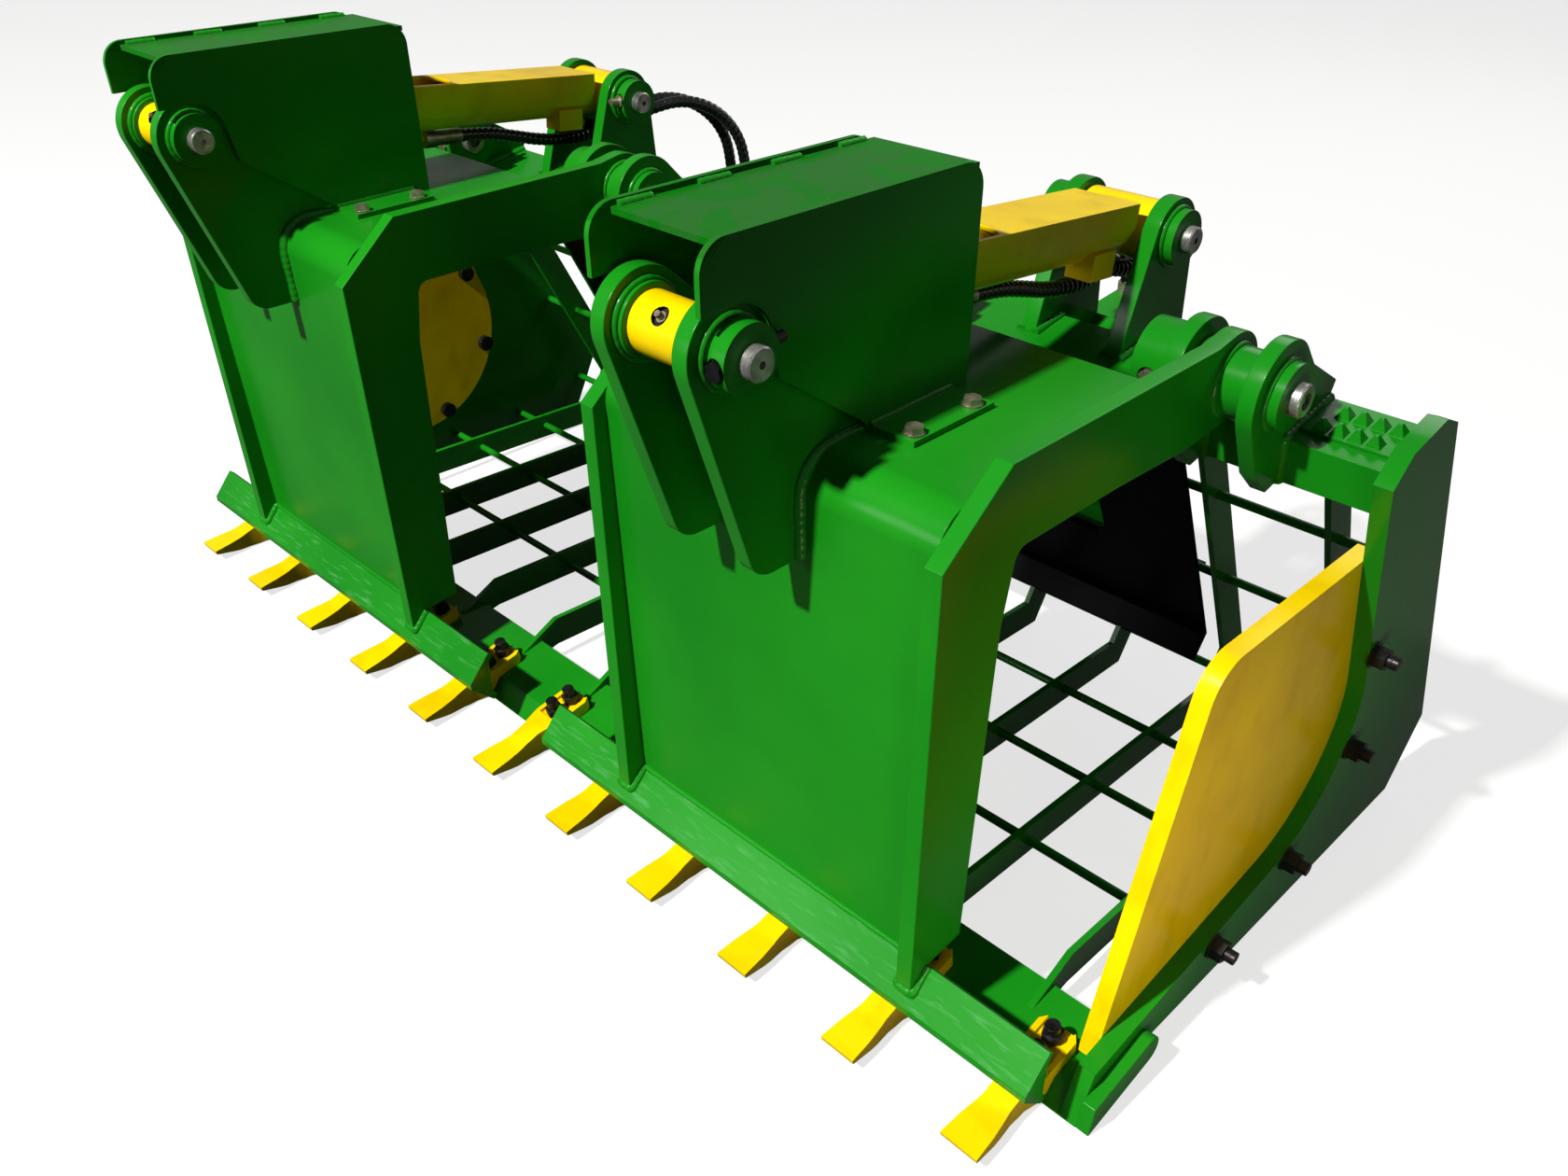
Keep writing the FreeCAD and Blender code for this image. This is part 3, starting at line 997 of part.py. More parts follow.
plate_top = size("fitting_long")
plate_low = plate_top + size("bracket_thick")
coupler_end = plate_low + size("coupler_long")
brackets, couplers = [], []
for side in SIDES:
    ends_x = [way(side, out, [(size("hose_in"), *HOSE_END)])[0][0]
              for out in (-size("hose_side"), size("hose_side"))]
    bracket = wall(bracket_items, sum(ends_x) / 2 - size("bracket_half"), 2 * size("bracket_half"))
    hole_r = size("hose_r") + size("coupler_gap")
    brackets.append(bracket.cut([hanging(x, hole_r, plate_top - PAST, plate_low + PAST) for x in ends_x]))
    for x in ends_x:
        body = joined([hanging(x, size("fitting_r"), 0, plate_top),
                       hanging(x, size("hose_r"), plate_top, plate_low),
                       hanging(x, size("coupler_r"), plate_low, coupler_end)])
        couplers.append(body.cut(hanging(x, size("coupler_bore"), coupler_end - size("coupler_bore_long"),
                                         coupler_end + PAST)))
solids("hose_bracket", brackets)
solids("hose_couplers", couplers)

# Every sub-part is checked, then written

doc.recompute()
for thing in parts:
    state = [word for word in thing.State if word in ("Invalid", "Error")]
    if state or thing.Shape.isNull() or not thing.Shape.isValid():
        raise ValueError("%s is not sound: %s" % (thing.Label, state))
for thing in parts:
    thing.Shape.exportStep("parts/%s.step" % thing.Label)
whole = FreeCAD.BoundBox()
for thing in parts:
    whole.add(thing.Shape.BoundBox)
    print("%-26s solids %2d volume %12.1f" % (thing.Label, len(thing.Shape.Solids), thing.Shape.Volume))
print("parts", len(parts), "size", whole)
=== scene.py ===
import bpy, math
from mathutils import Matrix, Quaternion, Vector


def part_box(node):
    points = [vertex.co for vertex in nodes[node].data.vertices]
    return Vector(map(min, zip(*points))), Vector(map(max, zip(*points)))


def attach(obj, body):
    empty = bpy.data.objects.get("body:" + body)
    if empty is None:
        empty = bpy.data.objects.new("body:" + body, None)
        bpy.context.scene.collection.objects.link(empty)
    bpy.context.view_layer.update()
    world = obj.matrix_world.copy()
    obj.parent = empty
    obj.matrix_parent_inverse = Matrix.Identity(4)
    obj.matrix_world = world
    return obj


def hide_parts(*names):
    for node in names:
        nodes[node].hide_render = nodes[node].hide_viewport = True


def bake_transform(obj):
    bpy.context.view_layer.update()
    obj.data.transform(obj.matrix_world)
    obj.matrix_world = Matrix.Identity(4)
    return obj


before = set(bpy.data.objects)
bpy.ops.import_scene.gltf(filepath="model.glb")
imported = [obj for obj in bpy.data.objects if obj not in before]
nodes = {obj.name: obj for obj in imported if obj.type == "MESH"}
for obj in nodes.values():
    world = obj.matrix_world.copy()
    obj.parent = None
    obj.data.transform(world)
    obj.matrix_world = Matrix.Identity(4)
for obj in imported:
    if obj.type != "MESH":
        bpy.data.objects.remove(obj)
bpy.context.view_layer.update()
print("frame loaded:", len(nodes), "nodes")


def clearSelection():
    for thing in bpy.context.selected_objects:
        thing.select_set(False)
    bpy.context.view_layer.objects.active = None


clearSelection()
sides = {"left": -1, "right": 1}
grapplePitch = 0.9568    # between the middle planes of the two grapples


def grappleMiddle(side):
    return sides[side] * grapplePitch / 2


# Camera and light

cameraSettings = {
    "place": (1.2533, -1.0998, 1.1938),
    "look": (-0.583192, 0.570981, -0.577813),
    "roll": 0.6258,    # degrees
    "lens": 29.67,    # lens and sensor in millimetres
    "sensor": 36,
    "shift": (0.0117, 0.0342),
}


def makeCamera(settings):
    data = bpy.data.cameras.new("photoCamera")
    data.lens = settings["lens"]
    data.sensor_width = settings["sensor"]
    data.shift_x, data.shift_y = settings["shift"]
    camera = bpy.data.objects.new("photoCamera", data)
    turn = Vector(settings["look"]).to_track_quat("-Z", "Y")
    camera.rotation_mode = "QUATERNION"
    camera.rotation_quaternion = turn @ Quaternion((0, 0, 1), math.radians(-settings["roll"]))
    camera.location = settings["place"]
    bpy.context.scene.collection.objects.link(camera)
    bpy.context.scene.camera = camera


makeCamera(cameraSettings)
bpy.context.scene.view_settings.view_transform = "Standard"

# The key lamp is high in front and small for its distance, so the shadows are short and crisp.
# The low lamp warms the right side cutter, the sky lamp shows as a streak in the bent face plates,
# and the other two keep the right side and the back out of the dark. Power is in watts, spread in
# degrees.
lampSettings = {
    "keyLamp": {"place": (-0.5, -6.0, 6.9), "target": (0, 0, 0.4), "size": 0.35, "power": 1150,
                "colour": (1, 0.98, 0.95), "spread": 180},
    "lowLamp": {"place": (1.50, -0.62, 0.08), "target": (0.93, -0.24, 0.20), "size": 0.5, "power": 1.0,
                "colour": (1, 0.88, 0.62), "spread": 60},
    "skyLamp": {"place": (-2.0, -4.4, 1.5), "target": (0.6, -0.35, 0.65), "size": 1.3, "power": 26,
                "colour": (1, 1, 1), "spread": 180},
    "sideLamp": {"place": (4.2, 1.2, 1.8), "target": (0.4, 0.1, 0.7), "size": 2.5, "power": 7,
                 "colour": (1, 0.84, 0.60), "spread": 180},
    "backLamp": {"place": (0, 4.2, 3.2), "target": (0, 0, 0.4), "size": 2.5, "power": 36,
                 "colour": (1, 1, 1), "spread": 180},
}


def makeLamp(name, settings):
    data = bpy.data.lights.new(name, "AREA")
    data.size = settings["size"]
    data.energy = settings["power"]
    data.color = settings["colour"]
    data.spread = math.radians(settings["spread"])
    lamp = bpy.data.objects.new(name, data)
    lamp.location = settings["place"]
    lamp.visible_camera = False
    lamp.rotation_mode = "QUATERNION"
    aim = Vector(settings["target"]) - Vector(settings["place"])
    lamp.rotation_quaternion = aim.to_track_quat("-Z", "Y")
    bpy.context.scene.collection.objects.link(lamp)


for lampName, lampValues in lampSettings.items():
    makeLamp(lampName, lampValues)
print("camera and", len(lampSettings), "lamps placed")


# Materials

def addNode(tree, kind, settings=None, links=None):
    node = tree.nodes.new(kind)
    for key, value in (settings or {}).items():
        if isinstance(key, int) or key in node.inputs:
            node.inputs[key].default_value = value
        else:
            setattr(node, key, value)
    for key, (source, output) in (links or {}).items():
        tree.links.new(source.outputs[output], node.inputs[key])
    return node


def linear(code):
    parts = [int(code[i:i + 2], 16) / 255 for i in (1, 3, 5)]
    return tuple(v / 12.92 if v <= 0.04045 else ((v + 0.055) / 1.055) ** 2.4 for v in parts) + (1,)


def newMaterial(name):
    material = bpy.data.materials.new(name)
    material.use_nodes = True
    tree = material.node_tree
    tree.nodes.clear()
    output = tree.nodes.new("ShaderNodeOutputMaterial")
    return material, tree, output


# Gloss alkyd machine enamel, sprayed: a deep clean colour, glossy but not a mirror, with a faint
# orange peel, slow waves, duller clouds and specks of dust. Sizes are in metres, and each pair of
# from and to is the stretch of a noise pattern over which one tone or gloss passes into the other.
paintSurface = {
    "ior": 1.5,
    "cloudFrom": 0.35, "cloudTo": 0.65, "glossFrom": 0.3, "glossTo": 0.7,
    "dustSize": 0.0016, "dustFrom": 0.72, "dustTo": 0.78,    # coarser than real dust, so that it shows
    "peelSize": 0.0045, "peelStrength": 0.06, "peelDepth": 0.0004,
    "waveSize": 0.05, "waveStrength": 0.10, "waveDepth": 0.004,
}


def enamelPaint(name, settings):
    surface = paintSurface
    material, tree, output = newMaterial(name)
    place = addNode(tree, "ShaderNodeTexCoord")
    cloud = addNode(tree, "ShaderNodeTexNoise", {"Scale": 1 / settings["cloudSize"], "Detail": 3},
                    {"Vector": (place, "Object")})
    clouded = addNode(tree, "ShaderNodeMapRange",
                      {"From Min": surface["cloudFrom"], "From Max": surface["cloudTo"]},
                      {"Value": (cloud, 0)})
    tone = addNode(tree, "ShaderNodeMix",
                   {"data_type": "RGBA", 6: linear(settings["deep"]), 7: linear(settings["light"])},
                   {0: (clouded, 0)})
    dust = addNode(tree, "ShaderNodeTexNoise", {"Scale": 1 / surface["dustSize"], "Detail": 3},
                   {"Vector": (place, "Object")})
    specks = addNode(tree, "ShaderNodeMapRange",
                     {"From Min": surface["dustFrom"], "From Max": surface["dustTo"],
                      "To Max": settings["specks"]}, {"Value": (dust, 0)})
    tone = addNode(tree, "ShaderNodeMix", {"data_type": "RGBA", 7: linear(settings["speckColour"])},
                   {0: (specks, 0), 6: (tone, 2)})
    if "film" in settings:
        drawn = addNode(tree, "ShaderNodeMapping", {"Scale": settings["filmStretch"]},
                        {"Vector": (place, "Object")})
        marks = addNode(tree, "ShaderNodeTexNoise", {"Scale": 1 / settings["filmSize"], "Detail": 3},
                        {"Vector": (drawn, 0)})
        film = addNode(tree, "ShaderNodeMapRange",
                       {"From Min": settings["filmFrom"], "From Max": settings["filmTo"],
                        "To Max": settings["filmWeight"]}, {"Value": (marks, 0)})
        tone = addNode(tree, "ShaderNodeMix", {"data_type": "RGBA", 7: linear(settings["film"])},
                       {0: (film, 0), 6: (tone, 2)})
    peel = addNode(tree, "ShaderNodeTexNoise", {"Scale": 1 / surface["peelSize"], "Detail": 2},
                   {"Vector": (place, "Object")})
    wave = addNode(tree, "ShaderNodeTexNoise", {"Scale": 1 / surface["waveSize"], "Detail": 2},
                   {"Vector": (place, "Object")})
    fine = addNode(tree, "ShaderNodeBump",
                   {"Strength": surface["peelStrength"], "Distance": surface["peelDepth"]},
                   {"Height": (peel, 0)})
    broad = addNode(tree, "ShaderNodeBump",
                    {"Strength": surface["waveStrength"], "Distance": surface["waveDepth"]},
                    {"Height": (wave, 0), "Normal": (fine, 0)})
    rough = addNode(tree, "ShaderNodeMapRange",
                    {"From Min": surface["glossFrom"], "From Max": surface["glossTo"],
                     "To Min": settings["gloss"], "To Max": settings["dull"]}, {"Value": (cloud, 0)})
    shader = addNode(tree, "ShaderNodeBsdfPrincipled",
                     {"IOR": surface["ior"], "Specular IOR Level": settings["sheen"]},
                     {"Base Color": (tone, 2), "Roughness": (rough, 0), "Normal": (broad, 0)})
    tree.links.new(shader.outputs[0], output.inputs[0])
    return material


enamels = {
    "greenEnamel": {"deep": "#0F7C13", "light": "#1A8C18", "cloudSize": 0.35, "specks": 0.25,
                    "speckColour": "#8FBF8C", "gloss": 0.16, "dull": 0.28, "sheen": 0.20},
    # Green that rain has dried on: a milky film with clear marks between, from a 40 mm pattern
    "rainMarkedGreen": {"deep": "#0B6A0E", "light": "#127612", "cloudSize": 0.35, "specks": 0.35,
                        "speckColour": "#A9CFA2", "film": "#2B6328", "filmWeight": 0.5,
                        "filmSize": 0.04, "filmStretch": (1, 0.7, 1), "filmFrom": 0.47, "filmTo": 0.48,
                        "gloss": 0.25, "dull": 0.35, "sheen": 0.03},
    # Green rubbed by the load: short pale streaks along the edge, partly scuffs and partly a painted
    # reflection of the sky
    "scuffsAndPaintedSheenGreen": {"deep": "#0F7C13", "light": "#1A8C18", "cloudSize": 0.35, "specks": 0.3,
                     "speckColour": "#8FBF8C", "film": "#6DB077", "filmWeight": 0.4,
                     "filmSize": 0.02, "filmStretch": (0.5, 1, 5), "filmFrom": 0.55, "filmTo": 0.80,
                     "gloss": 0.18, "dull": 0.3, "sheen": 0.3},
    # Bright yellow with soft smears of a darker gold
    "yellowEnamel": {"deep": "#F2CA00", "light": "#FBDB04", "cloudSize": 0.22, "specks": 0.3,
                     "speckColour": "#FBE98A", "film": "#C7A300", "filmWeight": 0.35,
                     "filmSize": 0.05, "filmStretch": (1, 1, 0.5), "filmFrom": 0.50, "filmTo": 0.72,
                     "gloss": 0.18, "dull": 0.32, "sheen": 0.14},
    # Almost black green, half matt; on the liner plate its near black is partly painted shade
    "darkPaintAndPaintedShade": {"deep": "#010503", "light": "#030A05", "cloudSize": 0.3, "specks": 0.3,
                   "speckColour": "#1A241D", "gloss": 0.28, "dull": 0.42, "sheen": 0.04},
}


# Finishes without paint: a mottled tone, and a fine grain that breaks up the gloss
def plainFinish(name, settings):
    material, tree, output = newMaterial(name)
    place = addNode(tree, "ShaderNodeTexCoord")
    drawn = addNode(tree, "ShaderNodeMapping", {"Scale": settings["stretch"]}, {"Vector": (place, "Object")})
    grain = addNode(tree, "ShaderNodeTexNoise", {"Scale": 1 / settings["grainSize"], "Detail": 3},
                    {"Vector": (drawn, 0)})
    cloud = addNode(tree, "ShaderNodeTexNoise", {"Scale": 1 / settings["cloudSize"], "Detail": 3},
                    {"Vector": (place, "Object")})
    clouded = addNode(tree, "ShaderNodeMapRange",
                      {"From Min": settings["cloudFrom"], "From Max": settings["cloudTo"]},
                      {"Value": (cloud, 0)})
    tone = addNode(tree, "ShaderNodeMix",
                   {"data_type": "RGBA", 6: linear(settings["deep"]), 7: linear(settings["light"])},
                   {0: (clouded, 0)})
    rough = addNode(tree, "ShaderNodeMapRange",
                    {"From Min": settings["glossFrom"], "From Max": settings["glossTo"],
                     "To Min": settings["gloss"], "To Max": settings["dull"]}, {"Value": (grain, 0)})
    bump = addNode(tree, "ShaderNodeBump", {"Strength": settings["bump"], "Distance": settings["bumpDepth"]},
                   {"Height": (grain, 0)})
    shader = addNode(tree, "ShaderNodeBsdfPrincipled", {"Metallic": settings["metallic"]},
                     {"Base Color": (tone, 2), "Roughness": (rough, 0), "Normal": (bump, 0)})
    tree.links.new(shader.outputs[0], output.inputs[0])
    return material


# Shared by all the finishes below, with sizes in metres
finishSurface = {"cloudSize": 0.02, "cloudFrom": 0.35, "cloudTo": 0.7, "glossFrom": 0.3, "glossTo": 0.7,
                 "bumpDepth": 0.0003}
# Grain and turning marks are finer on the real pieces, and drawn as coarse as they need to show
plainFinishes = {
    # Hardened bolts, black oxide: near black with a soft grey sheen
    "blackOxideSteel": {"deep": "#111112", "light": "#2C2C2E", "grainSize": 0.003, "stretch": (1, 1, 1),
                        "gloss": 0.28, "dull": 0.5, "bump": 0.1, "metallic": 0.6},
    # Pins, turned on a lathe: mottled grey, with glints along the turning marks
    "turnedSteel": {"deep": "#767674", "light": "#D0D0CB", "grainSize": 0.0012, "stretch": (1, 0.2, 0.2),
                    "gloss": 0.22, "dull": 0.45, "bump": 0.12, "metallic": 0.75},
    # Zinc-plated bolts and fittings: a warm pale grey, half bright
    "zincSteel": {"deep": "#7A7663", "light": "#B9B498", "grainSize": 0.002, "stretch": (1, 1, 1),
                  "gloss": 0.25, "dull": 0.45, "bump": 0.06, "metallic": 0.75},
    # Piston rods, ground and hard-chrome plated: a bright mirror
    "hardChrome": {"deep": "#B9BBC0", "light": "#DCDDE0", "grainSize": 0.001, "stretch": (1, 0.1, 0.1),
                   "gloss": 0.05, "dull": 0.12, "bump": 0.02, "metallic": 1.0},
    # Spiral guard of black polypropylene on the hoses: black, with small sharp highlights
    "hoseGuard": {"deep": "#08090A", "light": "#16171A", "grainSize": 0.0016, "stretch": (1, 1, 1),
                  "gloss": 0.12, "dull": 0.22, "bump": 0.08, "metallic": 0.0},
    # Recess round a grease nipple, coloured darker than the eye round it: brown-black and half shiny
    "darkRecess": {"deep": "#0A0A08", "light": "#1C1A14", "grainSize": 0.002, "stretch": (1, 1, 1),
                      "gloss": 0.3, "dull": 0.5, "bump": 0.1, "metallic": 0.2},
}

materials = {name: enamelPaint(name, values) for name, values in enamels.items()}
materials.update({name: plainFinish(name, {**finishSurface, **values})
                  for name, values in plainFinishes.items()})

finishes = {    # all that isn't named here is greenEnamel
    "side_cutter": "yellowEnamel", "bucket_teeth": "yellowEnamel", "barrel": "yellowEnamel",
    "barrel_guard": "yellowEnamel", "rod_eye": "yellowEnamel", "barrel_ports": "yellowEnamel",
    "cutter_bolts": "blackOxideSteel", "tooth_bolts": "blackOxideSteel", "gland": "blackOxideSteel",
    # The liner plate's near black is a dark paint and partly painted shade from inside the bucket
    "liner_plate": "darkPaintAndPaintedShade", "hinge_pins": "turnedSteel", "tower_pins": "turnedSteel",
    "front_pin": "turnedSteel", "piston": "turnedSteel", "rod": "hardChrome",
    # On the grapple lip the pale streaks are partly scuffs and partly a painted reflection of the sky
    "cover_bolts": "zincSteel", "hose_couplers": "zincSteel", "grapple_lip": "scuffsAndPaintedSheenGreen",
}


def plainName(node):
    for side in ("_left", "_right", "_outer", "_inner"):
        node = node.replace(side, "")
    return node


for node, thing in nodes.items():
    thing.data.materials.clear()
    thing.data.materials.append(materials[finishes.get(plainName(node), "greenEnamel")])


# Pieces that share a node with others but have a finish of their own

def paintFaces(node, finish, chosen):
    mesh = nodes[node].data
    mesh.materials.append(materials[finish])
    for face in mesh.polygons:
        if chosen(face.center):
            face.material_index = len(mesh.materials) - 1


# Each pin's axis as (y, z) in the side view, and its keeper bolts: their slope in degrees, their
# distances outwards from the grapple's middle plane, and how far from the axis their ends begin
pinPlaces = {
    "hinge": {"axis": (0.087, 0.653), "slope": 10, "out": (-0.167, 0.167), "seat": 0.036},
    "tower": {"axis": (0.243, 0.723), "slope": 173, "out": (-0.083,), "seat": 0.025},
    "front": {"axis": (-0.437, 0.787), "slope": 6, "out": (0.075,), "seat": 0.025},
}
keeperReach = 0.0096    # a little over half a bolt head's width, corner to corner


# The faces of a keeper bolt: its front end with wanted -1, its back end with 1, both with 0
def onKeeper(point, side, pin, wanted=0):
    slope = math.radians(pin["slope"])
    y, z = point.y - pin["axis"][0], point.z - pin["axis"][1]
    if abs(y * math.cos(slope) + z * math.sin(slope)) < pin["seat"] or y * wanted < 0:
        return False
    beside = y * math.sin(slope) - z * math.cos(slope)
    across = point.x - grappleMiddle(side)
    return any(math.hypot(across - sides[side] * out, beside) < keeperReach for out in pin["out"])


# The grease nipple on the rod's eye: its slope in degrees, the height of its recess above the
# eye's axis, and the radii of the recess and of the nipple
nippleSettings = {"slope": 135, "seat": 0.0228, "recess": 0.0093, "stem": 0.0056}


# How far a point on the eye is from the nipple's own axis; below the recess nothing belongs to it
def besideNipple(point, side):
    slope = math.radians(nippleSettings["slope"])
    y, z = point.y - pinPlaces["front"]["axis"][0], point.z - pinPlaces["front"]["axis"][1]
    if y * math.cos(slope) + z * math.sin(slope) < nippleSettings["seat"]:
        return math.inf
    return math.hypot(point.x - grappleMiddle(side), y * math.sin(slope) - z * math.cos(slope))


portFittings = {"stub": 0.1806, "ferrule": (-0.0725, -0.0092)}    # where they begin and end along Y
roofDepth = 0.012    # the upper layer of the cover, which the rain stands on
for side in sides:
    paintFaces("front_collars_" + side, "blackOxideSteel",
               lambda point: onKeeper(point, side, pinPlaces["front"]))
    paintFaces("barrel_ports_" + side, "zincSteel",
               lambda point: point.y > portFittings["stub"]
               or portFittings["ferrule"][0] < point.y < portFittings["ferrule"][1])
    # The recess round the nipple is coloured brown-black, darker than the eye
    paintFaces("rod_eye_" + side, "darkRecess",
               lambda point: besideNipple(point, side) < nippleSettings["recess"])
    paintFaces("rod_eye_" + side, "zincSteel",
               lambda point: besideNipple(point, side) < nippleSettings["stem"])
    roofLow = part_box("cylinder_cover_" + side)[1][2] - roofDepth
    paintFaces("cylinder_cover_" + side, "rainMarkedGreen", lambda point: point.z > roofLow)
for finish, end in (("zincSteel", -1), ("blackOxideSteel", 1)):
    paintFaces("pin_collars", finish,
               lambda point: any(onKeeper(point, side, pinPlaces[name], end)
                                 for side in sides for name in ("hinge", "tower")))
print("finishes on", len(nodes), "nodes")


# Hoses: the rear one leaves the stub behind the port block, the front one the pipe's ferrule;
# both pass under the tower pin and hang over the back into their couplers. Side is how far each
# port lies from the cylinder's middle plane. Route points are (inboard shift, y, z), and both
# routes end with the tail.

hoseSettings = {
    "radius": 0.009, "side": 0.018, "resolution": 3,
    "rear": [(0, 0.18728, 0.6899), (0, 0.2152, 0.6797), (0, 0.2459, 0.6754), (0, 0.286, 0.681)],
    "front": [(0, -0.0139, 0.70097), (0, 0.030, 0.6968), (0, 0.078, 0.684), (0, 0.130, 0.6685),
              (0, 0.184, 0.660), (0, 0.237, 0.6605), (0, 0.2864, 0.673)],
    "tail": [(0.012, 0.331, 0.692), (0.0312, 0.3631, 0.6986), (0.0504, 0.3952, 0.692),
             (0.0673, 0.4234, 0.673), (0.0798, 0.4443, 0.6439), (0.0865, 0.4554, 0.6082),
             (0.0865, 0.4586, 0.572)],
    "step": 0.00125,
    "guard": (0.95, 0.95, 1.0, 1.03, 1.05, 1.05, 1.03, 1.0),    # radius along one 10 mm turn
    "length": {"rear": 0.373, "front": 0.580},
    "blendFrom": 0.175, "blendTo": 0.33, "height": 0.69,
}


# The smooth line that a route's points control
def routePoints(points):
    curve = bpy.data.curves.new("route", "CURVE")
    curve.dimensions = "3D"
    curve.resolution_u = 32
    spline = curve.splines.new("NURBS")
    spline.points.add(len(points) - 1)
    for knot, place in zip(spline.points, points):
        knot.co = (*place, 1)
    spline.order_u = 3
    spline.use_endpoint_u = True
    route = bpy.data.objects.new("route", curve)
    bpy.context.scene.collection.objects.link(route)
    line = bpy.data.meshes.new_from_object(route)
    places = [corner.co.copy() for corner in line.vertices]
    bpy.data.objects.remove(route)
    bpy.data.meshes.remove(line)
    return places


# Points at one distance from each other along a line, with its own last point
def evenly(places, step):
    made = [places[0]]
    left = step
    for start, end in zip(places, places[1:]):
        run = (end - start).length
        while run > 0 and left <= run:
            made.append(start.lerp(end, left / run))
            left += step
        left -= run
    return made + [places[-1]]


# One mesh with a round bar along each line, for hoses and beads: the shares are the bar's radius
# at each point, and a line whose ends meet within a bar's width is closed to a ring
def roundBars(name, lines, radius, resolution, finish):
    curve = bpy.data.curves.new(name, "CURVE")
    curve.dimensions = "3D"
    curve.bevel_depth = radius
    curve.bevel_resolution = resolution
    curve.use_fill_caps = True
    for places, shares in lines:
        spline = curve.splines.new("POLY")
        spline.points.add(len(places) - 1)
        for knot, place, share in zip(spline.points, places, shares):
            knot.co = (*place, 1)
            knot.radius = share
        spline.use_cyclic_u = (places[0] - places[-1]).length < 2 * radius
    bar = bpy.data.objects.new(name, curve)
    bpy.context.scene.collection.objects.link(bar)
    bpy.context.view_layer.objects.active = bar
    bar.select_set(True)
    bpy.ops.object.convert(target="MESH")
    bpy.ops.object.shade_smooth()
    made = bpy.context.object
    made.data.materials.clear()
    made.data.materials.append(materials[finish])
    clearSelection()
    return made


def makeHose(side, kind, settings):
    inboard = -sides[side]
    out = settings["side"] if kind == "rear" else -settings["side"]
    middle = grappleMiddle(side)
    points = [(middle + out + inboard * shift, y, z) for shift, y, z in settings[kind] + settings["tail"]]
    places = evenly(routePoints(points), settings["step"])
    guard = settings["guard"]
    shares = [guard[count % len(guard)] for count in range(len(places))]
    hose = roundBars(kind + "Hose_" + side, [(places, shares)], settings["radius"], settings["resolution"],
                     "hoseGuard")
    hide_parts(kind + "_hose_" + side)
    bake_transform(hose)


for side in sides:
    for kind in ("rear", "front"):
        makeHose(side, kind, hoseSettings)
print("hoses made")


# Weld beads, whose width swells and shrinks a little along each run. Here x is a distance from the
# grapple's middle plane, and places are (y, z) in the side view.

weldSettings = {
    "step": 0.0015, "resolution": 2,
    "ripple": ((0.022, 1.05), (0.04, 0.23)),    # depth as a share of the radius, radians per step
    "collar": 0.0042, "foot": 0.0062, "wide": 0.0080, "seam": 0.0036, "stitch": 0.0046,
}
ringWelds = [    # body, pin, radius, x
    ("grapple", "front", 0.031, (-0.060, 0.060)),
    ("grapple", "front", 0.034, (-0.042, 0.042)),
    ("grapple", "hinge", 0.036, (-0.239, -0.219, 0.219, 0.239)),
    ("bucket", "tower", 0.031, (-0.068, 0.068)),
    ("bucket", "hinge", 0.035, (-0.292, 0.292)),
    ("bucket", "hinge", 0.042, (-0.187, 0.187)),
]
ringPoints = 72
# Round the feet of the front lugs, over the bend in the face plate
lugFoot = {
    "beads": (("wide", -0.060), ("foot", -0.042), ("foot", 0.042), ("wide", 0.060)),
    "low": (-0.3534, 0.560), "back": (-0.235, 0.664),
    "bend": (-0.315, 0.624), "radius": 0.040, "from": 181.4, "to": 90, "steps": 8,
}
armToe = {"inner": 0.219, "outer": 0.239, "toe": (-0.365, 0.102), "root": (-0.342, 0.127)}
lipBack = (-0.343, 0.1275)
coverFlange = {"x": 0.069, "run": ((-0.272, 0.670), (-0.154, 0.670))}
# Short runs between roof and cheeks; the roof falls from the first height to the second
stitches = {"x": 0.062, "starts": (-0.443, -0.355, -0.267, -0.179), "long": 0.036,
            "height": (0.8790, 0.8745), "along": (-0.450, -0.128)}
hingeLugs = {"x": (-0.292, -0.274, -0.205, -0.187, 0.187, 0.205, 0.274, 0.292),
             "run": ((0.1290, 0.5408), (0.120, 0.593), (0.2136, 0.6092))}
towerLugs = {"x": (-0.068, -0.048, 0.048, 0.068), "run": ((0.160, 0.6000), (0.2136, 0.6092))}


def sideRun(x, places):
    return [Vector((x, y, z)) for y, z in places]


def arc(centre, radius, turns):
    return [(centre[0] + radius * math.cos(math.radians(turn)),
             centre[1] + radius * math.sin(math.radians(turn))) for turn in turns]


def ringRuns(body, middle):
    turns = [360 / ringPoints * count for count in range(ringPoints)]
    return [(weldSettings["collar"], sideRun(middle + x, arc(pinPlaces[pin]["axis"], radius, turns)))
            for owner, pin, radius, places in ringWelds if owner == body for x in places]


def footRun():
    swing = (lugFoot["to"] - lugFoot["from"]) / lugFoot["steps"]
    turns = [lugFoot["from"] + swing * count for count in range(lugFoot["steps"] + 1)]
    return [lugFoot["low"]] + arc(lugFoot["bend"], lugFoot["radius"], turns) + [lugFoot["back"]]


def stitchRun(start):
    high, low = stitches["height"]
    front, back = stitches["along"]
    ends = (start, start + stitches["long"])
    return [(y, high + (low - high) * (y - front) / (back - front)) for y in ends]


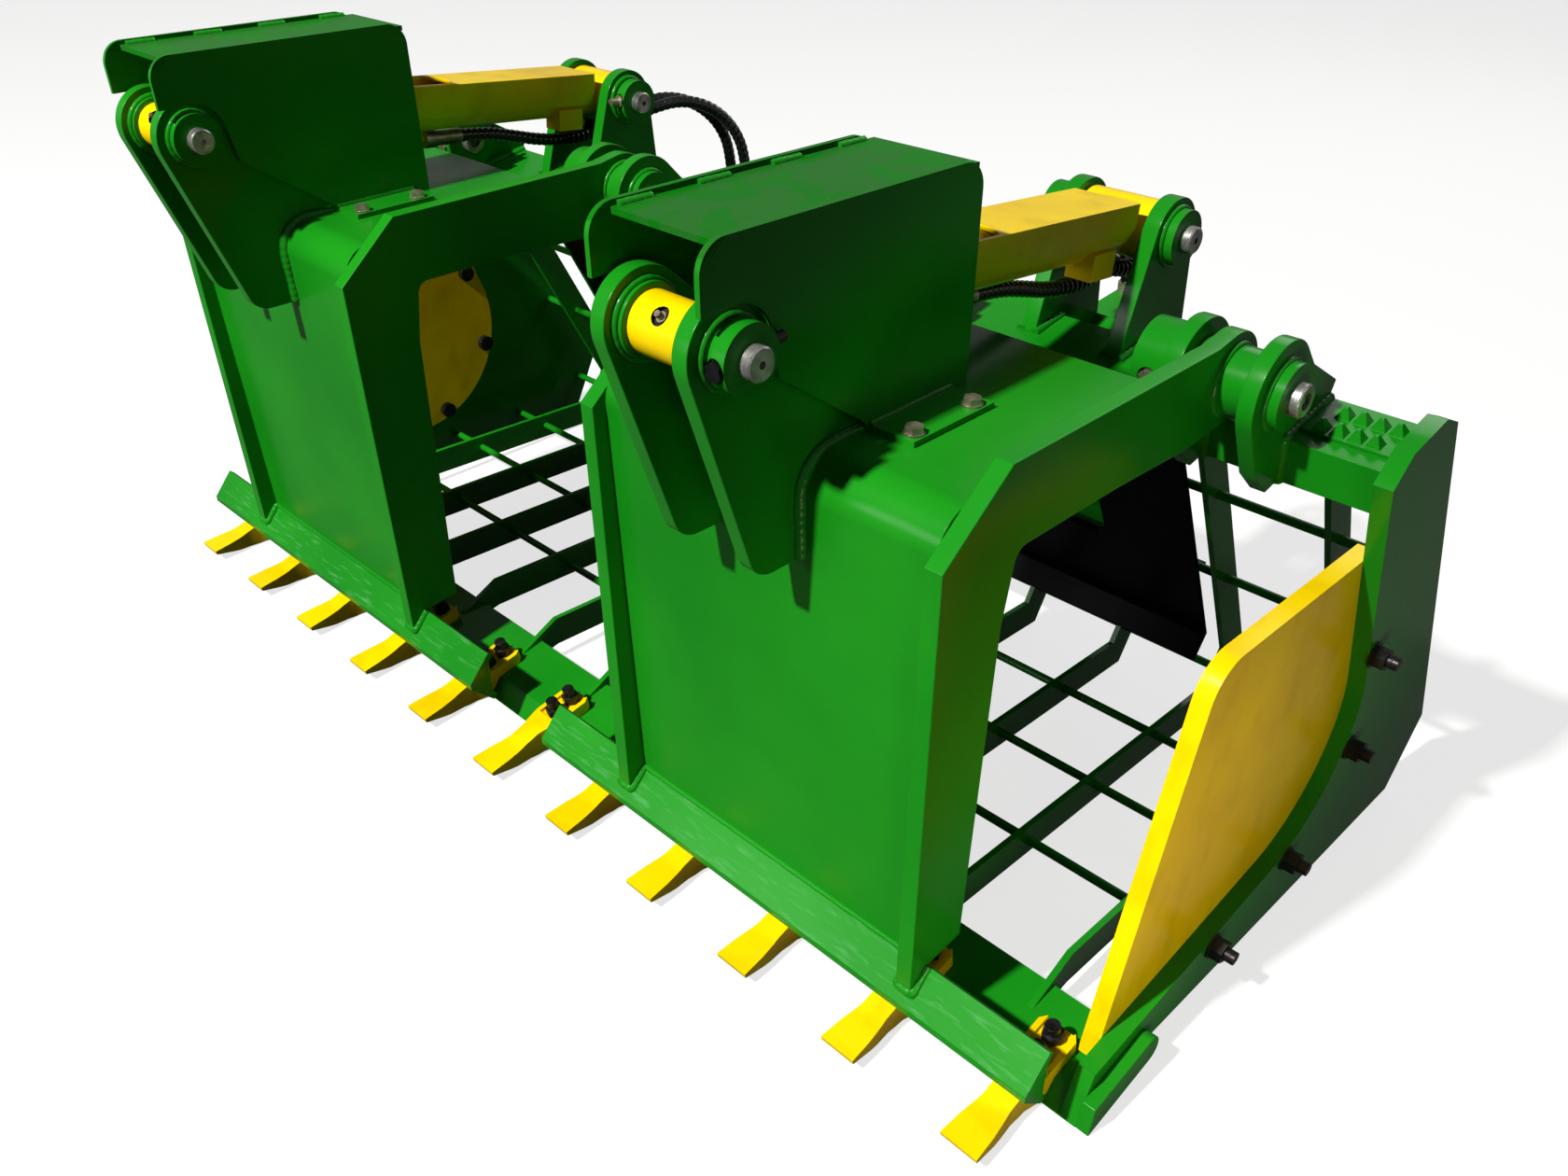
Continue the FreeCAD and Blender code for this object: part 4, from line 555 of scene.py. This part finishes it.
def grappleWelds(middle):
    runs = [(weldSettings[kind], sideRun(middle + x, footRun())) for kind, x in lugFoot["beads"]]
    toe, root = armToe["toe"], armToe["root"]
    for hand in (-1, 1):
        runs.append((weldSettings["foot"], sideRun(middle + hand * armToe["inner"], (root, toe))
                     + sideRun(middle + hand * armToe["outer"], (toe, root))))
        runs.append((weldSettings["seam"], sideRun(middle + hand * coverFlange["x"], coverFlange["run"])))
        for start in stitches["starts"]:
            runs.append((weldSettings["stitch"], sideRun(middle + hand * stitches["x"], stitchRun(start))))
    runs.append((weldSettings["seam"],
                 [Vector((middle + hand * armToe["inner"], *lipBack)) for hand in (-1, 1)]))
    return runs


def bucketWelds(middle):
    return [(weldSettings["foot"], sideRun(middle + x, lugs["run"]))
            for lugs in (hingeLugs, towerLugs) for x in lugs["x"]]


def makeWelds(body, runs):
    lines = []
    for radius, places in runs:
        even = evenly(places, weldSettings["step"])
        swells = [sum(depth * math.sin(pace * count) for depth, pace in weldSettings["ripple"])
                  for count in range(len(even))]
        lines.append((even, [(1 + swell) * radius / weldSettings["foot"] for swell in swells]))
    bead = roundBars("weldBeads_" + body, lines, weldSettings["foot"], weldSettings["resolution"],
                     "greenEnamel")
    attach(bead, body)


bucketRuns = []
for side in sides:
    middle = grappleMiddle(side)
    makeWelds("grapple_" + side, grappleWelds(middle) + ringRuns("grapple", middle))
    bucketRuns += bucketWelds(middle) + ringRuns("bucket", middle)
makeWelds("bucket", bucketRuns)
print("weld beads made")


# Small rounds on the plate edges, so that they catch the light, with flat faces kept flat. Widths
# are in metres and angles in degrees; hoses, their couplers and brackets stay as they are.
edgeRounds = {
    "width": 0.0012, "segments": 2, "angle": 35,
    "merge": 0.00002, "flat": 0.4,
    "without": "hose",
}


def roundEdges(thing, settings):
    weld = thing.modifiers.new("weld", "WELD")
    weld.merge_threshold = settings["merge"]
    flatFaces = thing.modifiers.new("flatFaces", "DECIMATE")
    flatFaces.decimate_type = "DISSOLVE"
    flatFaces.angle_limit = math.radians(settings["flat"])
    flatFaces.delimit = {"MATERIAL"}
    bevel = thing.modifiers.new("edgeRound", "BEVEL")
    bevel.width = settings["width"]
    bevel.segments = settings["segments"]
    bevel.limit_method = "ANGLE"
    bevel.angle_limit = math.radians(settings["angle"])
    shade = thing.modifiers.new("shading", "WEIGHTED_NORMAL")
    shade.mode = "FACE_AREA"
    for face in thing.data.polygons:
        face.use_smooth = True


for node, thing in nodes.items():
    if edgeRounds["without"] not in node:
        roundEdges(thing, edgeRounds)
print("edges rounded")


# Floor and world: the floor takes the object's shadow and is white to the camera round it. It lies
# half a millimetre under the object, so that the two don't share a plane.

floorSettings = {"half": 40, "low": 0.0005, "shaded": "#343230", "pale": "#959595", "white": 0.74,
                 "inGloss": 0.10}
worldSettings = {"fill": 0.03, "white": 1.0, "inGloss": 0.25}


# The share of the white background that a ray sees: all of it in the camera's view and through
# glass, and a part in reflections, so that metal shows it and the paint keeps its colour
def directRays(tree, inGloss):
    ray = addNode(tree, "ShaderNodeLightPath")
    seen = addNode(tree, "ShaderNodeMath", {"operation": "MULTIPLY_ADD", 1: inGloss},
                   {0: (ray, "Is Glossy Ray"), 2: (ray, "Is Camera Ray")})
    return addNode(tree, "ShaderNodeMath", {"operation": "ADD", "use_clamp": True},
                   {0: (seen, 0), 1: (ray, "Is Transmission Ray")})


def makeFloor(settings):
    bpy.ops.mesh.primitive_plane_add(size=2 * settings["half"], location=(0, 0, -settings["low"]))
    floor = bpy.context.object
    floor.name = "studioFloor"
    material, tree, output = newMaterial("paleFloor")
    direct = directRays(tree, settings["inGloss"])
    tone = addNode(tree, "ShaderNodeMix",
                   {"data_type": "RGBA", 6: linear(settings["shaded"]), 7: linear(settings["pale"])},
                   {0: (direct, 0)})
    paper = addNode(tree, "ShaderNodeBsdfDiffuse", {}, {"Color": (tone, 2)})
    share = addNode(tree, "ShaderNodeMath", {"operation": "MULTIPLY", 1: settings["white"]},
                    {0: (direct, 0)})
    white = addNode(tree, "ShaderNodeEmission", {"Color": (1, 1, 1, 1)}, {"Strength": (share, 0)})
    both = addNode(tree, "ShaderNodeAddShader", {}, {0: (paper, 0), 1: (white, 0)})
    tree.links.new(both.outputs[0], output.inputs[0])
    floor.data.materials.append(material)
    clearSelection()


def makeWorld(settings):
    world = bpy.data.worlds.new("studioWorld")
    bpy.context.scene.world = world
    world.use_nodes = True
    tree = world.node_tree
    tree.nodes.clear()
    fill = addNode(tree, "ShaderNodeBackground", {"Color": (1, 1, 1, 1), "Strength": settings["fill"]})
    white = addNode(tree, "ShaderNodeBackground", {"Color": (1, 1, 1, 1), "Strength": settings["white"]})
    mix = addNode(tree, "ShaderNodeMixShader", {},
                  {0: (directRays(tree, settings["inGloss"]), 0), 1: (fill, 0), 2: (white, 0)})
    addNode(tree, "ShaderNodeOutputWorld", {}, {0: (mix, 0)})


makeFloor(floorSettings)
makeWorld(worldSettings)
print("floor and world made")
